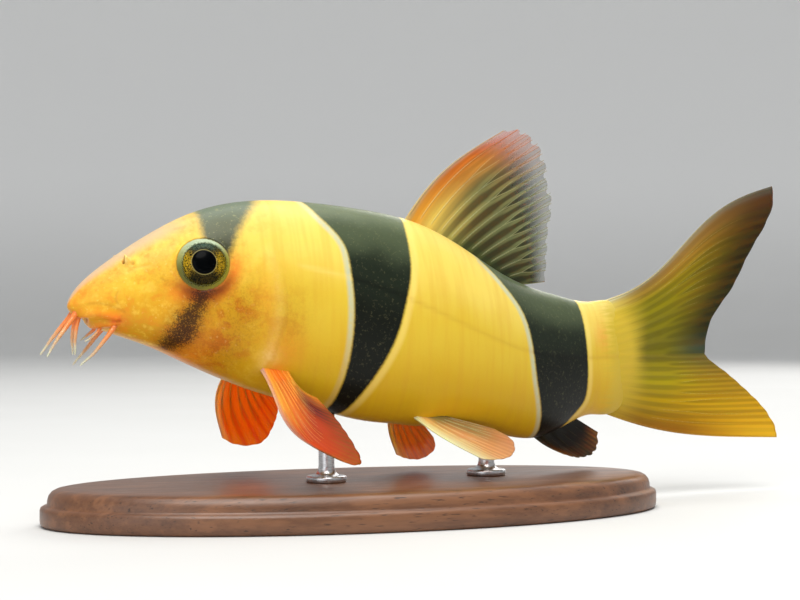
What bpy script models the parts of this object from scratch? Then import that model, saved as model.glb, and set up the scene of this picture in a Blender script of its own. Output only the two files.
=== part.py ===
"""A young clown loach as a still, life-size model on a display stand.

The fish is about 118 mm long from its snout to the tips of its tail fin, and 121 mm with its
barbels. It swims level with its fins spread and its tail bending away to its right, over a flat
oval base, on two short rods that meet the belly.

Frame: metres, +Z up, the snout towards -X and the fish's left flank towards -Y. The origin is the
middle of the base's underside.

The body is one closed loft through sections along a bent spine. It is parted by thin cuts into
head, gill covers, trunk and tail. Fins, barbels, eyes and rods are made in the same body
coordinates and are cut clear of the flesh that they grow from by a narrow gap.
"""

import math

import bmesh
import bpy
import numpy as np
from mathutils import Matrix, Vector

MM = 0.001
GAP = 0.3 * MM
SHARP_ANGLE = math.radians(40)

# Where the fish hangs over the base.
SNOUT_X = -42 * MM
SPINE_Y = -2 * MM
AXIS_HEIGHT = 30 * MM

# The spine seen from above: straight through the head, then bending to the fish's right along the
# body, and back again along the tail fin, as in a slow swimming stroke.
BODY_LENGTH = 85 * MM
BEND_START = 34 * MM
BEND_ANGLE = math.radians(18)
TAIL_FIN_LENGTH = 34 * MM
TAIL_FIN_RETURN = math.radians(14)
SPINE_STEP = 0.5 * MM
SPINE_REACH = 126 * MM

# Sections of the body, in millimetres: distance from the snout tip, height of the back and of the
# belly from the axis, and half width.
SECTIONS = (
    (0.0, -0.8, -0.8, 0.0),
    (0.5, 0.2, -1.7, 1.3),
    (1.5, 1.3, -2.6, 2.1),
    (4.0, 3.8, -3.8, 3.2),
    (7.0, 6.2, -4.8, 4.2),
    (12.0, 9.4, -6.6, 5.5),
    (18.0, 12.1, -9.3, 6.8),
    (26.0, 13.5, -12.5, 7.9),
    (34.0, 13.3, -14.8, 8.3),
    (42.0, 12.4, -16.8, 8.2),
    (49.0, 10.9, -17.4, 7.7),
    (56.0, 7.8, -18.1, 6.9),
    (63.0, 4.0, -19.2, 5.7),
    (69.0, 1.8, -20.0, 4.6),
    (74.0, 0.7, -18.8, 3.7),
    (79.0, -0.2, -17.0, 2.9),
    (85.0, -0.1, -16.5, 2.0),
)
# The fleshy end of the tail closes into a blunt wedge behind the last section.
TAIL_END = (
    (86.8, -0.9, -15.6, 1.6),
    (88.8, -2.9, -13.4, 1.05),
    (90.2, -5.6, -10.8, 0.5),
    (90.6, -8.2, -8.2, 0.0),
)
WIDEST_SHARE = 0.44
BACK_ROUNDNESS = 1.95
BELLY_ROUNDNESS = 2.35
SECTION_SIDES = 36
NOSE_RINGS = 6
RING_STEP = 2.0 * MM

# Head features, as distance from the snout, distance out from the middle, and height.
EYE_AT = (17.0, 4.8, 4.45)
EYE_RADIUS = 3.45 * MM
EYE_DEPTH = 2.5 * MM
EYE_COLUMNS = 24
EYE_ROWS = 14
EYE_RING = 0.34 * MM
EYE_RING_OUT = 0.2 * MM
EYE_RIM_RISE = 0.75 * MM
EYE_TURN = math.radians(9)
EYE_TILT = math.radians(14)
RIM_ROWS = 6
NOSTRIL_AT = (7.0, 2.5, 4.9)
NOSTRIL_OPENS = (-0.45, 0.55, 0.75)
NOSTRIL_RADIUS = 0.55 * MM
NOSTRIL_WALL = 0.24 * MM
NOSTRIL_COLUMNS = 14
NOSTRIL_PIT_DEPTH = 0.7 * MM
NOSTRIL_PIT_LENGTH = 2.0 * MM
MOUTH_GAP_AT = (1.7, -3.5)
MOUTH_GAP_RADIUS = 1.2 * MM
MOUTH_GAP_REACH = 5.0 * MM
LIP_RADIUS = 0.6 * MM
LIP_STEPS = 15
LIP_CORNER = 0.18
UPPER_LIP = ((5.7, 3.3, -2.5), (3.7, 2.75, -1.95), (2.0, 1.8, -1.9), (1.3, 0.0, -1.95))
LOWER_LIP = ((5.7, 3.1, -2.9), (4.6, 2.4, -3.1), (3.5, 1.3, -3.25), (3.1, 0.0, -3.2))

# The head ends at the gill openings. In side view each gill cover is bounded by that line and by
# its own front edge behind the cheek, from the eye's level down to the throat.
HEAD_REAR = ((29.6, 16.0), (27.6, 6.4), (28.3, 0.2), (27.9, -3.8), (26.2, -8.0), (24.0, -16.0))
GILL_FRONT = ((24.0, -10.6), (21.6, -8.2), (20.7, -3.0), (21.8, 2.4), (24.0, 5.4), (28.0, 7.2))
GILL_BEHIND = ((33.0, 7.2), (33.0, -10.6))
GILL_MIDDLE = (24.0 * MM, -2.0 * MM)
GILL_DEPTH = 2.6 * MM
EDGE_POINTS = 15
TAIL_START = 66.0 * MM

# The blocks that part the body reach this far past it: in side view in millimetres, and across.
CUT_FRONT = -20.0
CUT_REAR = 130.0
CUT_HEIGHT = 40.0
CUT_REACH = 60 * MM

# Barbels: root, bend and tip in the same head coordinates, and radius at the root.
BARBELS = {
    "rostral_outer": ((1.0, 0.9, -1.6), (-1.0, 1.7, -4.2), (-3.1, 2.3, -7.3), 0.46 * MM),
    "rostral_inner": ((1.3, 0.7, -2.2), (0.9, 1.0, -4.6), (0.8, 0.95, -7.2), 0.42 * MM),
    "maxillary": ((6.4, 2.6, -2.4), (3.9, 3.0, -5.6), (1.2, 2.1, -8.6), 0.46 * MM),
    "mandibular": ((4.2, 1.4, -3.4), (3.2, 1.6, -4.6), (2.0, 1.5, -5.4), 0.36 * MM),
}
BARBEL_TIP = 0.16 * MM
BARBEL_TAPER = 1.3
BARBEL_STEPS = 9
TUBE_RESOLUTION = 2
WELD = 0.001 * MM

# Fins: half thicknesses of the membrane, of the rays, of the outer edge and of the root, and the
# shares of a ray's length where the root's thickness ends and where the edge's begins.
FIN_MEMBRANE = 0.27 * MM
FIN_RAY = 0.46 * MM
FIN_EDGE = 0.16 * MM
FIN_ROOT = 0.75 * MM
FIN_EDGE_FROM = 0.75
MEDIAN_ROOT_TO = 0.3
PAIRED_ROOT_TO = 0.25
BOW_LEAN = 0.35

# A median fin lies in the body's middle plane, in distance from the snout and height.
DORSAL_RAYS = 12
DORSAL_ROOT = ((47.2, 10.2), (55.5, 6.6), (64.5, 2.0))
DORSAL_TIPS = (
    (65.0, 24.6),
    (68.6, 24.7),
    (72.0, 20.8),
    (73.3, 15.4),
    (72.7, 9.0),
    (71.8, 2.7),
)
CAUDAL_RAYS = 9
CAUDAL_UPPER_ROOT = ((84.0, -1.0), (87.6, -4.4), (88.6, -8.15))
CAUDAL_UPPER_TIPS = (
    (117.6, 18.3),
    (117.2, 14.6),
    (113.4, 8.0),
    (109.2, 1.2),
    (105.6, -3.6),
    (104.5, -8.15),
)
CAUDAL_LOWER_ROOT = ((84.0, -15.6), (87.6, -12.1), (88.6, -8.45))
CAUDAL_LOWER_TIPS = (
    (119.3, -21.8),
    (117.2, -18.2),
    (112.8, -14.2),
    (108.0, -10.8),
    (105.2, -9.0),
    (104.5, -8.45),
)
ANAL_RAYS = 8
ANAL_ROOT = ((68.6, -19.0), (72.6, -18.4), (76.4, -16.9))
ANAL_TIPS = ((75.8, -22.8), (79.6, -23.4), (82.4, -22.3), (82.6, -19.8))

# Paired fins. Directions are back, out and up. A fin's root line runs along the body, and its
# outline gives the ray tips across and along the rays, front to rear. Each side has its own way
# of holding the fin: the left ones are folded back, the right ones spread.
PECTORAL_RAYS = 11
PECTORAL_AT = (26.0, 4.5, -9.6)
PECTORAL_ROOT_WIDTH = 3.9
PECTORAL_TIPS = ((-3.2, 16.2), (-1.2, 18.4), (0.9, 18.6), (2.7, 16.0), (3.6, 11.8), (3.3, 7.4))
PECTORAL_HELD = {"left": ((0.45, 0.69, -0.56), 0.85), "right": ((0.32, 0.74, -0.6), 1.2)}
PECTORAL_CUP = 1.0
PELVIC_RAYS = 8
PELVIC_AT = (48.9, 3.9, -15.9)
PELVIC_ROOT_WIDTH = 3.6
PELVIC_TIPS = ((-2.3, 9.8), (-0.3, 12.0), (2.0, 13.0), (3.9, 12.3), (4.3, 9.2))
PELVIC_HELD = {"left": ((0.74, 0.46, -0.46), 1.0), "right": ((0.5, 0.64, -0.58), 0.95)}
PELVIC_CUP = 0.5

# The stand.
BASE_LENGTH = 90 * MM
BASE_WIDTH = 44 * MM
BASE_THICKNESS = 5 * MM
BASE_BEVEL = 1.0 * MM
BASE_SIDES = 64
ROD_RADIUS = 1.1 * MM
ROD_FOOT_RADIUS = 2.8 * MM
ROD_FOOT_HEIGHT = 1.0 * MM
ROD_SIDES = 20
ROD_INTO_BELLY = 2.0 * MM
FRONT_ROD_AT = 36 * MM
REAR_ROD_AT = 61 * MM

COLOURS = {
    "skin_yellow": (0.86, 0.56, 0.06),
    "skin_cheek": (0.84, 0.42, 0.05),
    "eye": (0.05, 0.07, 0.04),
    "fin_orange": (0.86, 0.20, 0.03),
    "fin_olive": (0.30, 0.26, 0.06),
    "fin_amber": (0.72, 0.46, 0.08),
    "fin_black": (0.04, 0.04, 0.03),
    "barbel": (0.86, 0.38, 0.14),
    "walnut": (0.12, 0.055, 0.03),
    "steel": (0.55, 0.55, 0.56),
}


def clear_scene():
    for obj in list(bpy.data.objects):
        bpy.data.objects.remove(obj)


def collection(name):
    made = bpy.data.collections.new(name)
    bpy.context.scene.collection.children.link(made)
    return made


def material(name, roughness=0.45, metallic=0.0):
    made = bpy.data.materials.get(name)
    if made is None:
        made = bpy.data.materials.new(name)
        made.use_nodes = True
        shader = made.node_tree.nodes["Principled BSDF"]
        shader.inputs["Base Color"].default_value = (*COLOURS[name], 1.0)
        shader.inputs["Roughness"].default_value = roughness
        shader.inputs["Metallic"].default_value = metallic
    return made


def spline(knots, values):
    """A natural cubic spline through the values at the knots, as a function of arrays."""
    x, y = np.asarray(knots, float), np.asarray(values, float)
    steps, slopes = np.diff(x), np.diff(y) / np.diff(x)
    matrix = np.eye(len(x))
    right = np.zeros(len(x))
    for i in range(1, len(x) - 1):
        matrix[i, i - 1 : i + 2] = steps[i - 1], 2 * (steps[i - 1] + steps[i]), steps[i]
        right[i] = 6 * (slopes[i] - slopes[i - 1])
    bend = np.linalg.solve(matrix, right)

    def at(q):
        q = np.clip(q, x[0], x[-1])
        i = np.clip(np.searchsorted(x, q, side="right") - 1, 0, len(x) - 2)
        step, a, b = steps[i], (x[i + 1] - q), (q - x[i])
        return (
            (bend[i] * a**3 + bend[i + 1] * b**3) / (6 * step)
            + (y[i] / step - bend[i] * step / 6) * a
            + (y[i + 1] / step - bend[i + 1] * step / 6) * b
        )

    return at


def curve_through(points):
    """A smooth curve through the points, as a function of 0 to 1 by the points' spacing."""
    points = np.asarray(points, float)
    lengths = np.linalg.norm(np.diff(points, axis=0), axis=1)
    knots = np.concatenate([[0], np.cumsum(lengths)]) / lengths.sum()
    parts = [spline(knots, points[:, k]) for k in range(points.shape[1])]
    return lambda t: np.array([float(part(t)) for part in parts])


def smooth_step(t):
    t = np.clip(t, 0, 1)
    return t * t * (3 - 2 * t)


def heading(s):
    """The spine's heading from +X at the distance s from the snout, in radians."""
    body = BEND_ANGLE * smooth_step((s - BEND_START) / (BODY_LENGTH - BEND_START))
    return body - TAIL_FIN_RETURN * smooth_step((s - BODY_LENGTH) / TAIL_FIN_LENGTH)


SPINE_STEPS = np.arange(0, SPINE_REACH, SPINE_STEP)
SPINE_TURNS = heading(SPINE_STEPS[1:])
SPINE_X = SNOUT_X + SPINE_STEP * np.concatenate([[0], np.cumsum(np.cos(SPINE_TURNS))])
SPINE_SIDE = SPINE_Y + SPINE_STEP * np.concatenate([[0], np.cumsum(np.sin(SPINE_TURNS))])


def body_to_world(s, out, up):
    """World point of body coordinates: distance from the snout, out to the left, height; metres."""
    turn = float(heading(s))
    x = float(np.interp(s, SPINE_STEPS, SPINE_X)) + min(s, 0.0)
    y = float(np.interp(s, SPINE_STEPS, SPINE_SIDE))
    return Vector((x + out * math.sin(turn), y - out * math.cos(turn), AXIS_HEIGHT + up))


def body_point(coordinates, side=1):
    """World point of body coordinates given in millimetres, on the left for side 1."""
    s, out, up = coordinates
    return body_to_world(s * MM, side * out * MM, up * MM)


PROFILE = np.array(SECTIONS)
NOSE_SCALE = np.sqrt(PROFILE[:, 0])
BACK, BELLY, HALF_WIDTH = (spline(NOSE_SCALE, PROFILE[:, k] * MM) for k in (1, 2, 3))


def section(s):
    """Back height, belly height and half width of the body at the distance s, in metres."""
    q = math.sqrt(max(s, 0.0) / MM)
    return float(BACK(q)), float(BELLY(q)), float(HALF_WIDTH(q))


def ring_of(back, belly, half, grow):
    """Offsets out and up round one section, from the left flank over the back."""
    back, belly, half = back + grow, belly - grow, half + grow
    middle = belly + WIDEST_SHARE * (back - belly)
    ring = []
    for k in range(SECTION_SIDES):
        angle = 2 * math.pi * k / SECTION_SIDES
        across, rise = math.cos(angle), math.sin(angle)
        power = 2 / (BACK_ROUNDNESS if rise >= 0 else BELLY_ROUNDNESS)
        reach = back - middle if rise >= 0 else middle - belly
        out = half * math.copysign(abs(across) ** power, across)
        up = middle + reach * math.copysign(abs(rise) ** power, rise)
        ring.append((out, up))
    return ring


def flank(s, up):
    """Distance out from the middle plane to the skin at the distance s and height up, in metres."""
    back, belly, half = section(s)
    middle = belly + WIDEST_SHARE * (back - belly)
    reach, roundness = (
        (back - middle, BACK_ROUNDNESS) if up >= middle else (middle - belly, BELLY_ROUNDNESS)
    )
    share = min(abs(up - middle) / reach, 1.0)
    return half * (1 - share**roundness) ** (1 / roundness)


def ring_distances():
    """Distances from the snout to the loft's rings: close together round the nose."""
    first = RING_STEP * 1.5
    nose = [first * (k / NOSE_RINGS) ** 2 for k in range(1, NOSE_RINGS)]
    count = round((BODY_LENGTH - first) / RING_STEP)
    return nose + [first + (BODY_LENGTH - first) * k / count for k in range(count + 1)]


def body_mesh(name, grow=0.0):
    """The whole body as one closed loft, swollen on all sides by grow."""
    rings = [(s, *section(s)) for s in ring_distances()]
    rings += [tuple(v * MM for v in station) for station in TAIL_END[:-1]]
    end = [v * MM for v in TAIL_END[-1]]
    made = bmesh.new()
    loops = []
    for s, back, belly, half in rings:
        loops.append(
            [made.verts.new(body_to_world(s, *place)) for place in ring_of(back, belly, half, grow)]
        )
    for loop, after in zip(loops, loops[1:]):
        for k in range(SECTION_SIDES):
            nxt = (k + 1) % SECTION_SIDES
            made.faces.new((loop[k], loop[nxt], after[nxt], after[k]))
    nose = made.verts.new(body_to_world(-grow, 0.0, SECTIONS[0][1] * MM))
    tail = made.verts.new(body_to_world(end[0] + grow, 0.0, end[1]))
    for k in range(SECTION_SIDES):
        nxt = (k + 1) % SECTION_SIDES
        made.faces.new((nose, loops[0][nxt], loops[0][k]))
        made.faces.new((tail, loops[-1][k], loops[-1][nxt]))
    bmesh.ops.recalc_face_normals(made, faces=made.faces)
    return object_from(made, name)


def object_from(made, name):
    """Turns a bmesh into a linked object and frees it."""
    data = bpy.data.meshes.new(name)
    made.to_mesh(data)
    made.free()
    obj = bpy.data.objects.new(name, data)
    WORKSHOP.objects.link(obj)
    return obj


def apply_boolean(target, operands, operation):
    """Applies one Boolean of the target with a collection of closed mesh objects."""
    group = bpy.data.collections.new("operands")
    bpy.context.scene.collection.children.link(group)
    for operand in operands:
        group.objects.link(operand)
    modifier = target.modifiers.new("combine", "BOOLEAN")
    modifier.operation = operation
    modifier.operand_type = "COLLECTION"
    modifier.collection = group
    modifier.solver = "EXACT"
    bpy.context.view_layer.update()
    graph = bpy.context.evaluated_depsgraph_get()
    result = bpy.data.meshes.new_from_object(target.evaluated_get(graph))
    target.modifiers.clear()
    target.data = result
    for operand in operands:
        group.objects.unlink(operand)
    bpy.data.collections.remove(group)


def unite(target, pieces):
    """Joins closed pieces to the target and removes them."""
    apply_boolean(target, pieces, "UNION")
    for piece in pieces:
        bpy.data.objects.remove(piece)


def cut(target, cutters):
    """Cuts the cutters out of the target. The cutters stay."""
    apply_boolean(target, cutters, "DIFFERENCE")


def keep_largest(obj):
    """Leaves only the closed surface with the largest volume."""
    made = bmesh.new()
    made.from_mesh(obj.data)
    bmesh.ops.triangulate(made, faces=made.faces)
    left = set(made.faces)
    groups = []
    while left:
        queue = [left.pop()]
        group = set(queue)
        while queue:
            for edge in queue.pop().edges:
                for face in edge.link_faces:
                    if face in left:
                        left.discard(face)
                        group.add(face)
                        queue.append(face)
        corners = [[v.co for v in face.verts] for face in group]
        groups.append((abs(sum(a.dot(b.cross(c)) for a, b, c in corners)), group))
    groups.sort(key=lambda item: item[0])
    loose = [face for _, group in groups[:-1] for face in group]
    bmesh.ops.delete(made, geom=loose, context="FACES")
    made.to_mesh(obj.data)
    made.free()


def duplicate(obj, name):
    copy = bpy.data.objects.new(name, obj.data.copy())
    copy.matrix_world = obj.matrix_world
    WORKSHOP.objects.link(copy)
    return copy


def finish(obj, colour, roughness=0.45, metallic=0.0):
    """Puts a finished piece among the parts with its material."""
    WORKSHOP.objects.unlink(obj)
    PARTS.objects.link(obj)
    obj.data.materials.clear()
    obj.data.materials.append(material(colour, roughness, metallic))
    obj.data.shade_smooth()
    obj.data.set_sharp_from_angle(angle=SHARP_ANGLE)


def prism(name, outline, low_y, high_y):
    """A block along Y whose side view is the outline, in distance from the snout and height."""
    points = [(SNOUT_X + s * MM, AXIS_HEIGHT + up * MM) for s, up in outline]
    made = bmesh.new()
    near = [made.verts.new((x, low_y, z)) for x, z in points]
    far = [made.verts.new((x, high_y, z)) for x, z in points]
    made.faces.new(near)
    made.faces.new(far)
    for k in range(len(points)):
        nxt = (k + 1) % len(points)
        made.faces.new((near[k], near[nxt], far[nxt], far[k]))
    bmesh.ops.recalc_face_normals(made, faces=made.faces)
    return object_from(made, name)


def smooth_outline(points, count):
    """Points along a smooth curve through the given ones."""
    along = curve_through(points)
    return [tuple(along(k / (count - 1))) for k in range(count)]


def inset(outline, by):
    """A closed outline moved inwards by a distance in millimetres."""
    points = np.asarray(outline, float)
    before, after = np.roll(points, 1, axis=0), np.roll(points, -1, axis=0)
    along = after - before
    along /= np.linalg.norm(along, axis=1)[:, None]
    normal = np.stack([-along[:, 1], along[:, 0]], axis=1)
    towards = points.mean(axis=0) - points
    normal *= np.sign((normal * towards).sum(axis=1))[:, None]
    return [tuple(p) for p in points + normal * by]


def spheroid(name, centre, axis, radius, depth):
    """A flattened sphere whose short axis points along axis."""
    made = bmesh.new()
    bmesh.ops.create_uvsphere(made, u_segments=EYE_COLUMNS, v_segments=EYE_ROWS, radius=1.0)
    turn = axis.to_track_quat("Z", "Y").to_matrix().to_4x4()
    scale = Matrix.Diagonal((radius, radius, depth, 1.0))
    made.transform(Matrix.Translation(centre) @ turn @ scale)
    return object_from(made, name)


def ring(name, centre, axis, radius, thickness, columns):
    """A torus round the axis."""
    bpy.ops.mesh.primitive_torus_add(
        major_segments=columns,
        minor_segments=RIM_ROWS,
        major_radius=radius,
        minor_radius=thickness,
    )
    obj = bpy.context.object
    obj.name = name
    for group in list(obj.users_collection):
        group.objects.unlink(obj)
    WORKSHOP.objects.link(obj)
    turn = axis.to_track_quat("Z", "Y").to_matrix().to_4x4()
    obj.data.transform(Matrix.Translation(centre) @ turn)
    return obj


def peg(name, foot, axis, radius, length, sides):
    """A closed cylinder from foot along the axis."""
    made = bmesh.new()
    bmesh.ops.create_cone(
        made, cap_ends=True, segments=sides, radius1=radius, radius2=radius, depth=length
    )
    turn = axis.to_track_quat("Z", "Y").to_matrix().to_4x4()
    made.transform(Matrix.Translation(foot + axis * (length / 2)) @ turn)
    return object_from(made, name)


def tube(name, points, radii):
    """A closed tube with flat ends through world points, with a radius at each."""
    widest = max(radii)
    line = bpy.data.curves.new(name + "_line", "CURVE")
    line.dimensions = "3D"
    line.bevel_depth = widest
    line.bevel_resolution = TUBE_RESOLUTION
    line.use_fill_caps = True
    route = line.splines.new("POLY")
    route.points.add(len(points) - 1)
    for knot, place, radius in zip(route.points, points, radii):
        knot.co = (*place, 1.0)
        knot.radius = radius / widest
    guide = bpy.data.objects.new(name + "_line", line)
    WORKSHOP.objects.link(guide)
    graph = bpy.context.evaluated_depsgraph_get()
    data = bpy.data.meshes.new_from_object(guide.evaluated_get(graph))
    made = bmesh.new()
    made.from_mesh(data)
    bmesh.ops.remove_doubles(made, verts=made.verts, dist=WELD)
    bmesh.ops.recalc_face_normals(made, faces=made.faces)
    bpy.data.objects.remove(guide)
    bpy.data.curves.remove(line)
    bpy.data.meshes.remove(data)
    return object_from(made, name)


def lip(name, half_route, grow):
    """A lip as a tube from corner to corner, mirrored from the given half."""
    route = [(s, out, up) for s, out, up in half_route]
    route += [(s, -out, up) for s, out, up in reversed(half_route[:-1])]
    along = curve_through([body_point(p) for p in route])
    shares = [k / (LIP_STEPS - 1) for k in range(LIP_STEPS)]
    swell = [math.sin(math.pi * (LIP_CORNER + (1 - 2 * LIP_CORNER) * t)) for t in shares]
    return tube(name, [along(t) for t in shares], [LIP_RADIUS * k + grow for k in swell])


def eye_frame(side):
    """The eye's middle and its outward axis."""
    centre = body_point(EYE_AT, side)
    axis = Vector(
        (
            -math.sin(EYE_TURN) * math.cos(EYE_TILT),
            -side * math.cos(EYE_TURN) * math.cos(EYE_TILT),
            math.sin(EYE_TILT),
        )
    )
    return centre, axis


def nostril_frame(side):
    """The nostril's place on the snout and the way it opens."""
    ahead, out, up = NOSTRIL_OPENS
    return body_point(NOSTRIL_AT, side), Vector((ahead, -side * out, up)).normalized()


def build_flesh():
    """Head, gill covers, trunk and tail, cut from one body."""
    whole = body_mesh("whole_body")
    rear_edge = smooth_outline(HEAD_REAR, EDGE_POINTS)
    half_gap = GAP / 2 / MM
    rear_end = [(CUT_REAR, -CUT_HEIGHT), (CUT_REAR, CUT_HEIGHT)]
    front_end = [(CUT_FRONT, -CUT_HEIGHT), (CUT_FRONT, CUT_HEIGHT)]
    behind = [(s - half_gap, up) for s, up in rear_edge] + rear_end
    before = [(s + half_gap, up) for s, up in rear_edge] + front_end
    behind_head = prism("behind_head", behind, -CUT_REACH, CUT_REACH)
    before_trunk = prism("before_trunk", before, -CUT_REACH, CUT_REACH)

    outline = smooth_outline(GILL_FRONT, EDGE_POINTS) + list(GILL_BEHIND)
    covers = []
    pockets = []
    for side, word in ((1, "left"), (-1, "right")):
        inner = SPINE_Y - side * (flank(*GILL_MIDDLE) - GILL_DEPTH)
        outer = SPINE_Y - side * CUT_REACH
        low, high = sorted((inner, outer))
        cover_block = prism("cover_block", inset(outline, half_gap), low, high)
        low, high = sorted((inner + side * GAP, outer))
        pockets.append(prism("cover_pocket", inset(outline, -half_gap), low, high))
        cover = duplicate(whole, "gill_cover_" + word)
        apply_boolean(cover, [cover_block], "INTERSECT")
        cut(cover, [behind_head])
        bpy.data.objects.remove(cover_block)
        covers.append(cover)

    head = duplicate(whole, "head")
    unite(head, head_forms(0.0))
    cutters = [behind_head, *pockets, *head_cutters()]
    cut(head, cutters)
    for cutter in cutters:
        bpy.data.objects.remove(cutter)

    tail_side = tail_block(TAIL_START + GAP / 2)
    behind_trunk = tail_block(TAIL_START - GAP / 2)
    trunk = duplicate(whole, "trunk")
    cut(trunk, [before_trunk, behind_trunk])
    tail = duplicate(whole, "tail")
    apply_boolean(tail, [tail_side], "INTERSECT")
    for cutter in (before_trunk, behind_trunk, tail_side, whole):
        bpy.data.objects.remove(cutter)

    for obj in (head, trunk, tail, *covers):
        keep_largest(obj)
    finish(head, "skin_cheek")
    finish(trunk, "skin_yellow")
    finish(tail, "skin_yellow")
    for cover in covers:
        finish(cover, "skin_cheek")


def tail_block(start):
    """A long box behind start, along the spine's heading at the tail's start."""
    turn = float(heading(TAIL_START))
    foot = body_to_world(TAIL_START, 0.0, 0.0)
    made = bmesh.new()
    bmesh.ops.create_cube(made, size=1.0)
    end = CUT_REAR * MM
    middle = (start + end) / 2 - TAIL_START
    scale = Matrix.Diagonal((end - start, 2 * CUT_REACH, 2 * CUT_REACH, 1.0))
    place = Matrix.Translation(foot) @ Matrix.Rotation(turn, 4, "Z")
    made.transform(place @ Matrix.Translation((middle, 0.0, 0.0)) @ scale)
    return object_from(made, "tail_block")


def head_forms(grow):
    """What stands proud of the head: lips, nostril rims and the rings of skin round the eyes."""
    forms = [lip("upper_lip", UPPER_LIP, grow), lip("lower_lip", LOWER_LIP, grow)]
    for side in (1, -1):
        place, axis = nostril_frame(side)
        wall = NOSTRIL_WALL + grow
        forms.append(ring("nostril_rim", place, axis, NOSTRIL_RADIUS, wall, NOSTRIL_COLUMNS))
        centre, axis = eye_frame(side)
        centre += axis * EYE_RIM_RISE
        radius = EYE_RADIUS + GAP + EYE_RING_OUT
        forms.append(ring("eye_rim", centre, axis, radius, EYE_RING + grow, EYE_COLUMNS))
    return forms


def head_cutters():
    """What is cut into the head: the open mouth, the nostril pits and the eye sockets."""
    gap_s, gap_up = MOUTH_GAP_AT
    across = Vector((0.0, 1.0, 0.0))
    foot = body_point((gap_s, 0.0, gap_up)) - across * MOUTH_GAP_REACH
    cutters = [peg("mouth_gap", foot, across, MOUTH_GAP_RADIUS, 2 * MOUTH_GAP_REACH, ROD_SIDES)]
    for side in (1, -1):
        place, axis = nostril_frame(side)
        place -= axis * NOSTRIL_PIT_DEPTH
        pit = NOSTRIL_RADIUS - NOSTRIL_WALL
        cutters.append(
            peg("nostril_pit", place, axis, pit, NOSTRIL_PIT_LENGTH, NOSTRIL_COLUMNS)
        )
        centre, axis = eye_frame(side)
        cutters.append(spheroid("socket", centre, axis, EYE_RADIUS + GAP, EYE_DEPTH + GAP))
    return cutters


def build_eyes():
    for side, word in ((1, "left"), (-1, "right")):
        centre, axis = eye_frame(side)
        eye = spheroid("eye_" + word, centre, axis, EYE_RADIUS, EYE_DEPTH)
        finish(eye, "eye", roughness=0.08)


def build_barbels(clearance):
    """Four pairs of barbels, each tapering from its root at the lips or snout."""
    for name, (root, bend, tip, radius) in BARBELS.items():
        for side, word in ((1, "left"), (-1, "right")):
            along = curve_through([body_point(p, side) for p in (root, bend, tip)])
            shares = [k / (BARBEL_STEPS - 1) for k in range(BARBEL_STEPS)]
            radii = [radius + (BARBEL_TIP - radius) * share**BARBEL_TAPER for share in shares]
            barbel = tube(f"barbel_{name}_{word}", [along(share) for share in shares], radii)
            cut(barbel, clearance)
            keep_largest(barbel)
            finish(barbel, "barbel")


def fin_mesh(name, place, columns, rows, half_thickness):
    """A closed thin solid on both sides of a middle surface.

    place(t, r) is the middle surface, with t across the rays and r along them. Both faces share
    one grid and one way of splitting it, so they never cross.
    """
    step = 1e-3
    made = bmesh.new()
    faces = [[], []]
    for t in columns:
        strips = [[], []]
        for r in rows:
            centre = place(t, r)
            across = place(min(t + step, 1), r) - place(max(t - step, 0), r)
            along = place(t, min(r + step, 1)) - place(t, max(r - step, 0))
            normal = Vector(across).cross(Vector(along)).normalized()
            half = half_thickness(t, r)
            strips[0].append(made.verts.new(Vector(centre) + normal * half))
            strips[1].append(made.verts.new(Vector(centre) - normal * half))
        faces[0].append(strips[0])
        faces[1].append(strips[1])
    last_c, last_r = len(columns) - 1, len(rows) - 1
    for grid in faces:
        for i in range(last_c):
            for j in range(last_r):
                a, b = grid[i][j], grid[i + 1][j]
                c, d = grid[i + 1][j + 1], grid[i][j + 1]
                made.faces.new((a, b, c))
                made.faces.new((a, c, d))
    border = [(i, 0) for i in range(last_c)]
    border += [(last_c, j) for j in range(last_r)]
    border += [(i, last_r) for i in range(last_c, 0, -1)]
    border += [(0, j) for j in range(last_r, 0, -1)]
    for (i, j), (k, m) in zip(border, border[1:] + border[:1]):
        a, b = faces[0][i][j], faces[0][k][m]
        c, d = faces[1][k][m], faces[1][i][j]
        made.faces.new((a, b, c))
        made.faces.new((a, c, d))
    bmesh.ops.recalc_face_normals(made, faces=made.faces)
    return object_from(made, name)


def fin_rows(count):
    return [k / count for k in range(count + 1)]


def fin_columns(rays):
    """Places across the fin: on each ray and midway between."""
    return [k / (2 * rays - 2) for k in range(2 * rays - 1)]


def fin_thickness(rays, root_to):
    """Half thickness of a fin: ridged along its rays, thick at the root, thin at the edge."""

    def half(t, r):
        ridge = 0.5 + 0.5 * math.cos(2 * math.pi * t * (rays - 1))
        edge = max(0.0, (r - FIN_EDGE_FROM) / (1 - FIN_EDGE_FROM))
        body = FIN_MEMBRANE + (FIN_RAY - FIN_MEMBRANE) * ridge * (1 - edge)
        root = max(0.0, 1 - r / root_to) ** 2
        return body + (FIN_ROOT - body) * root - (FIN_MEMBRANE - FIN_EDGE) * edge

    return half


def ray_curve(root, tip, bow, wave):
    """One ray from root to tip in the fin's plane, bowed to one side and waved to both."""
    span = tip - root
    normal = np.array([-span[1], span[0]])

    def at(r):
        aside = bow * math.sin(math.pi * r) * (1 - BOW_LEAN * r) + wave * math.sin(2 * math.pi * r)
        return root + span * r + normal * aside

    return at


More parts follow.
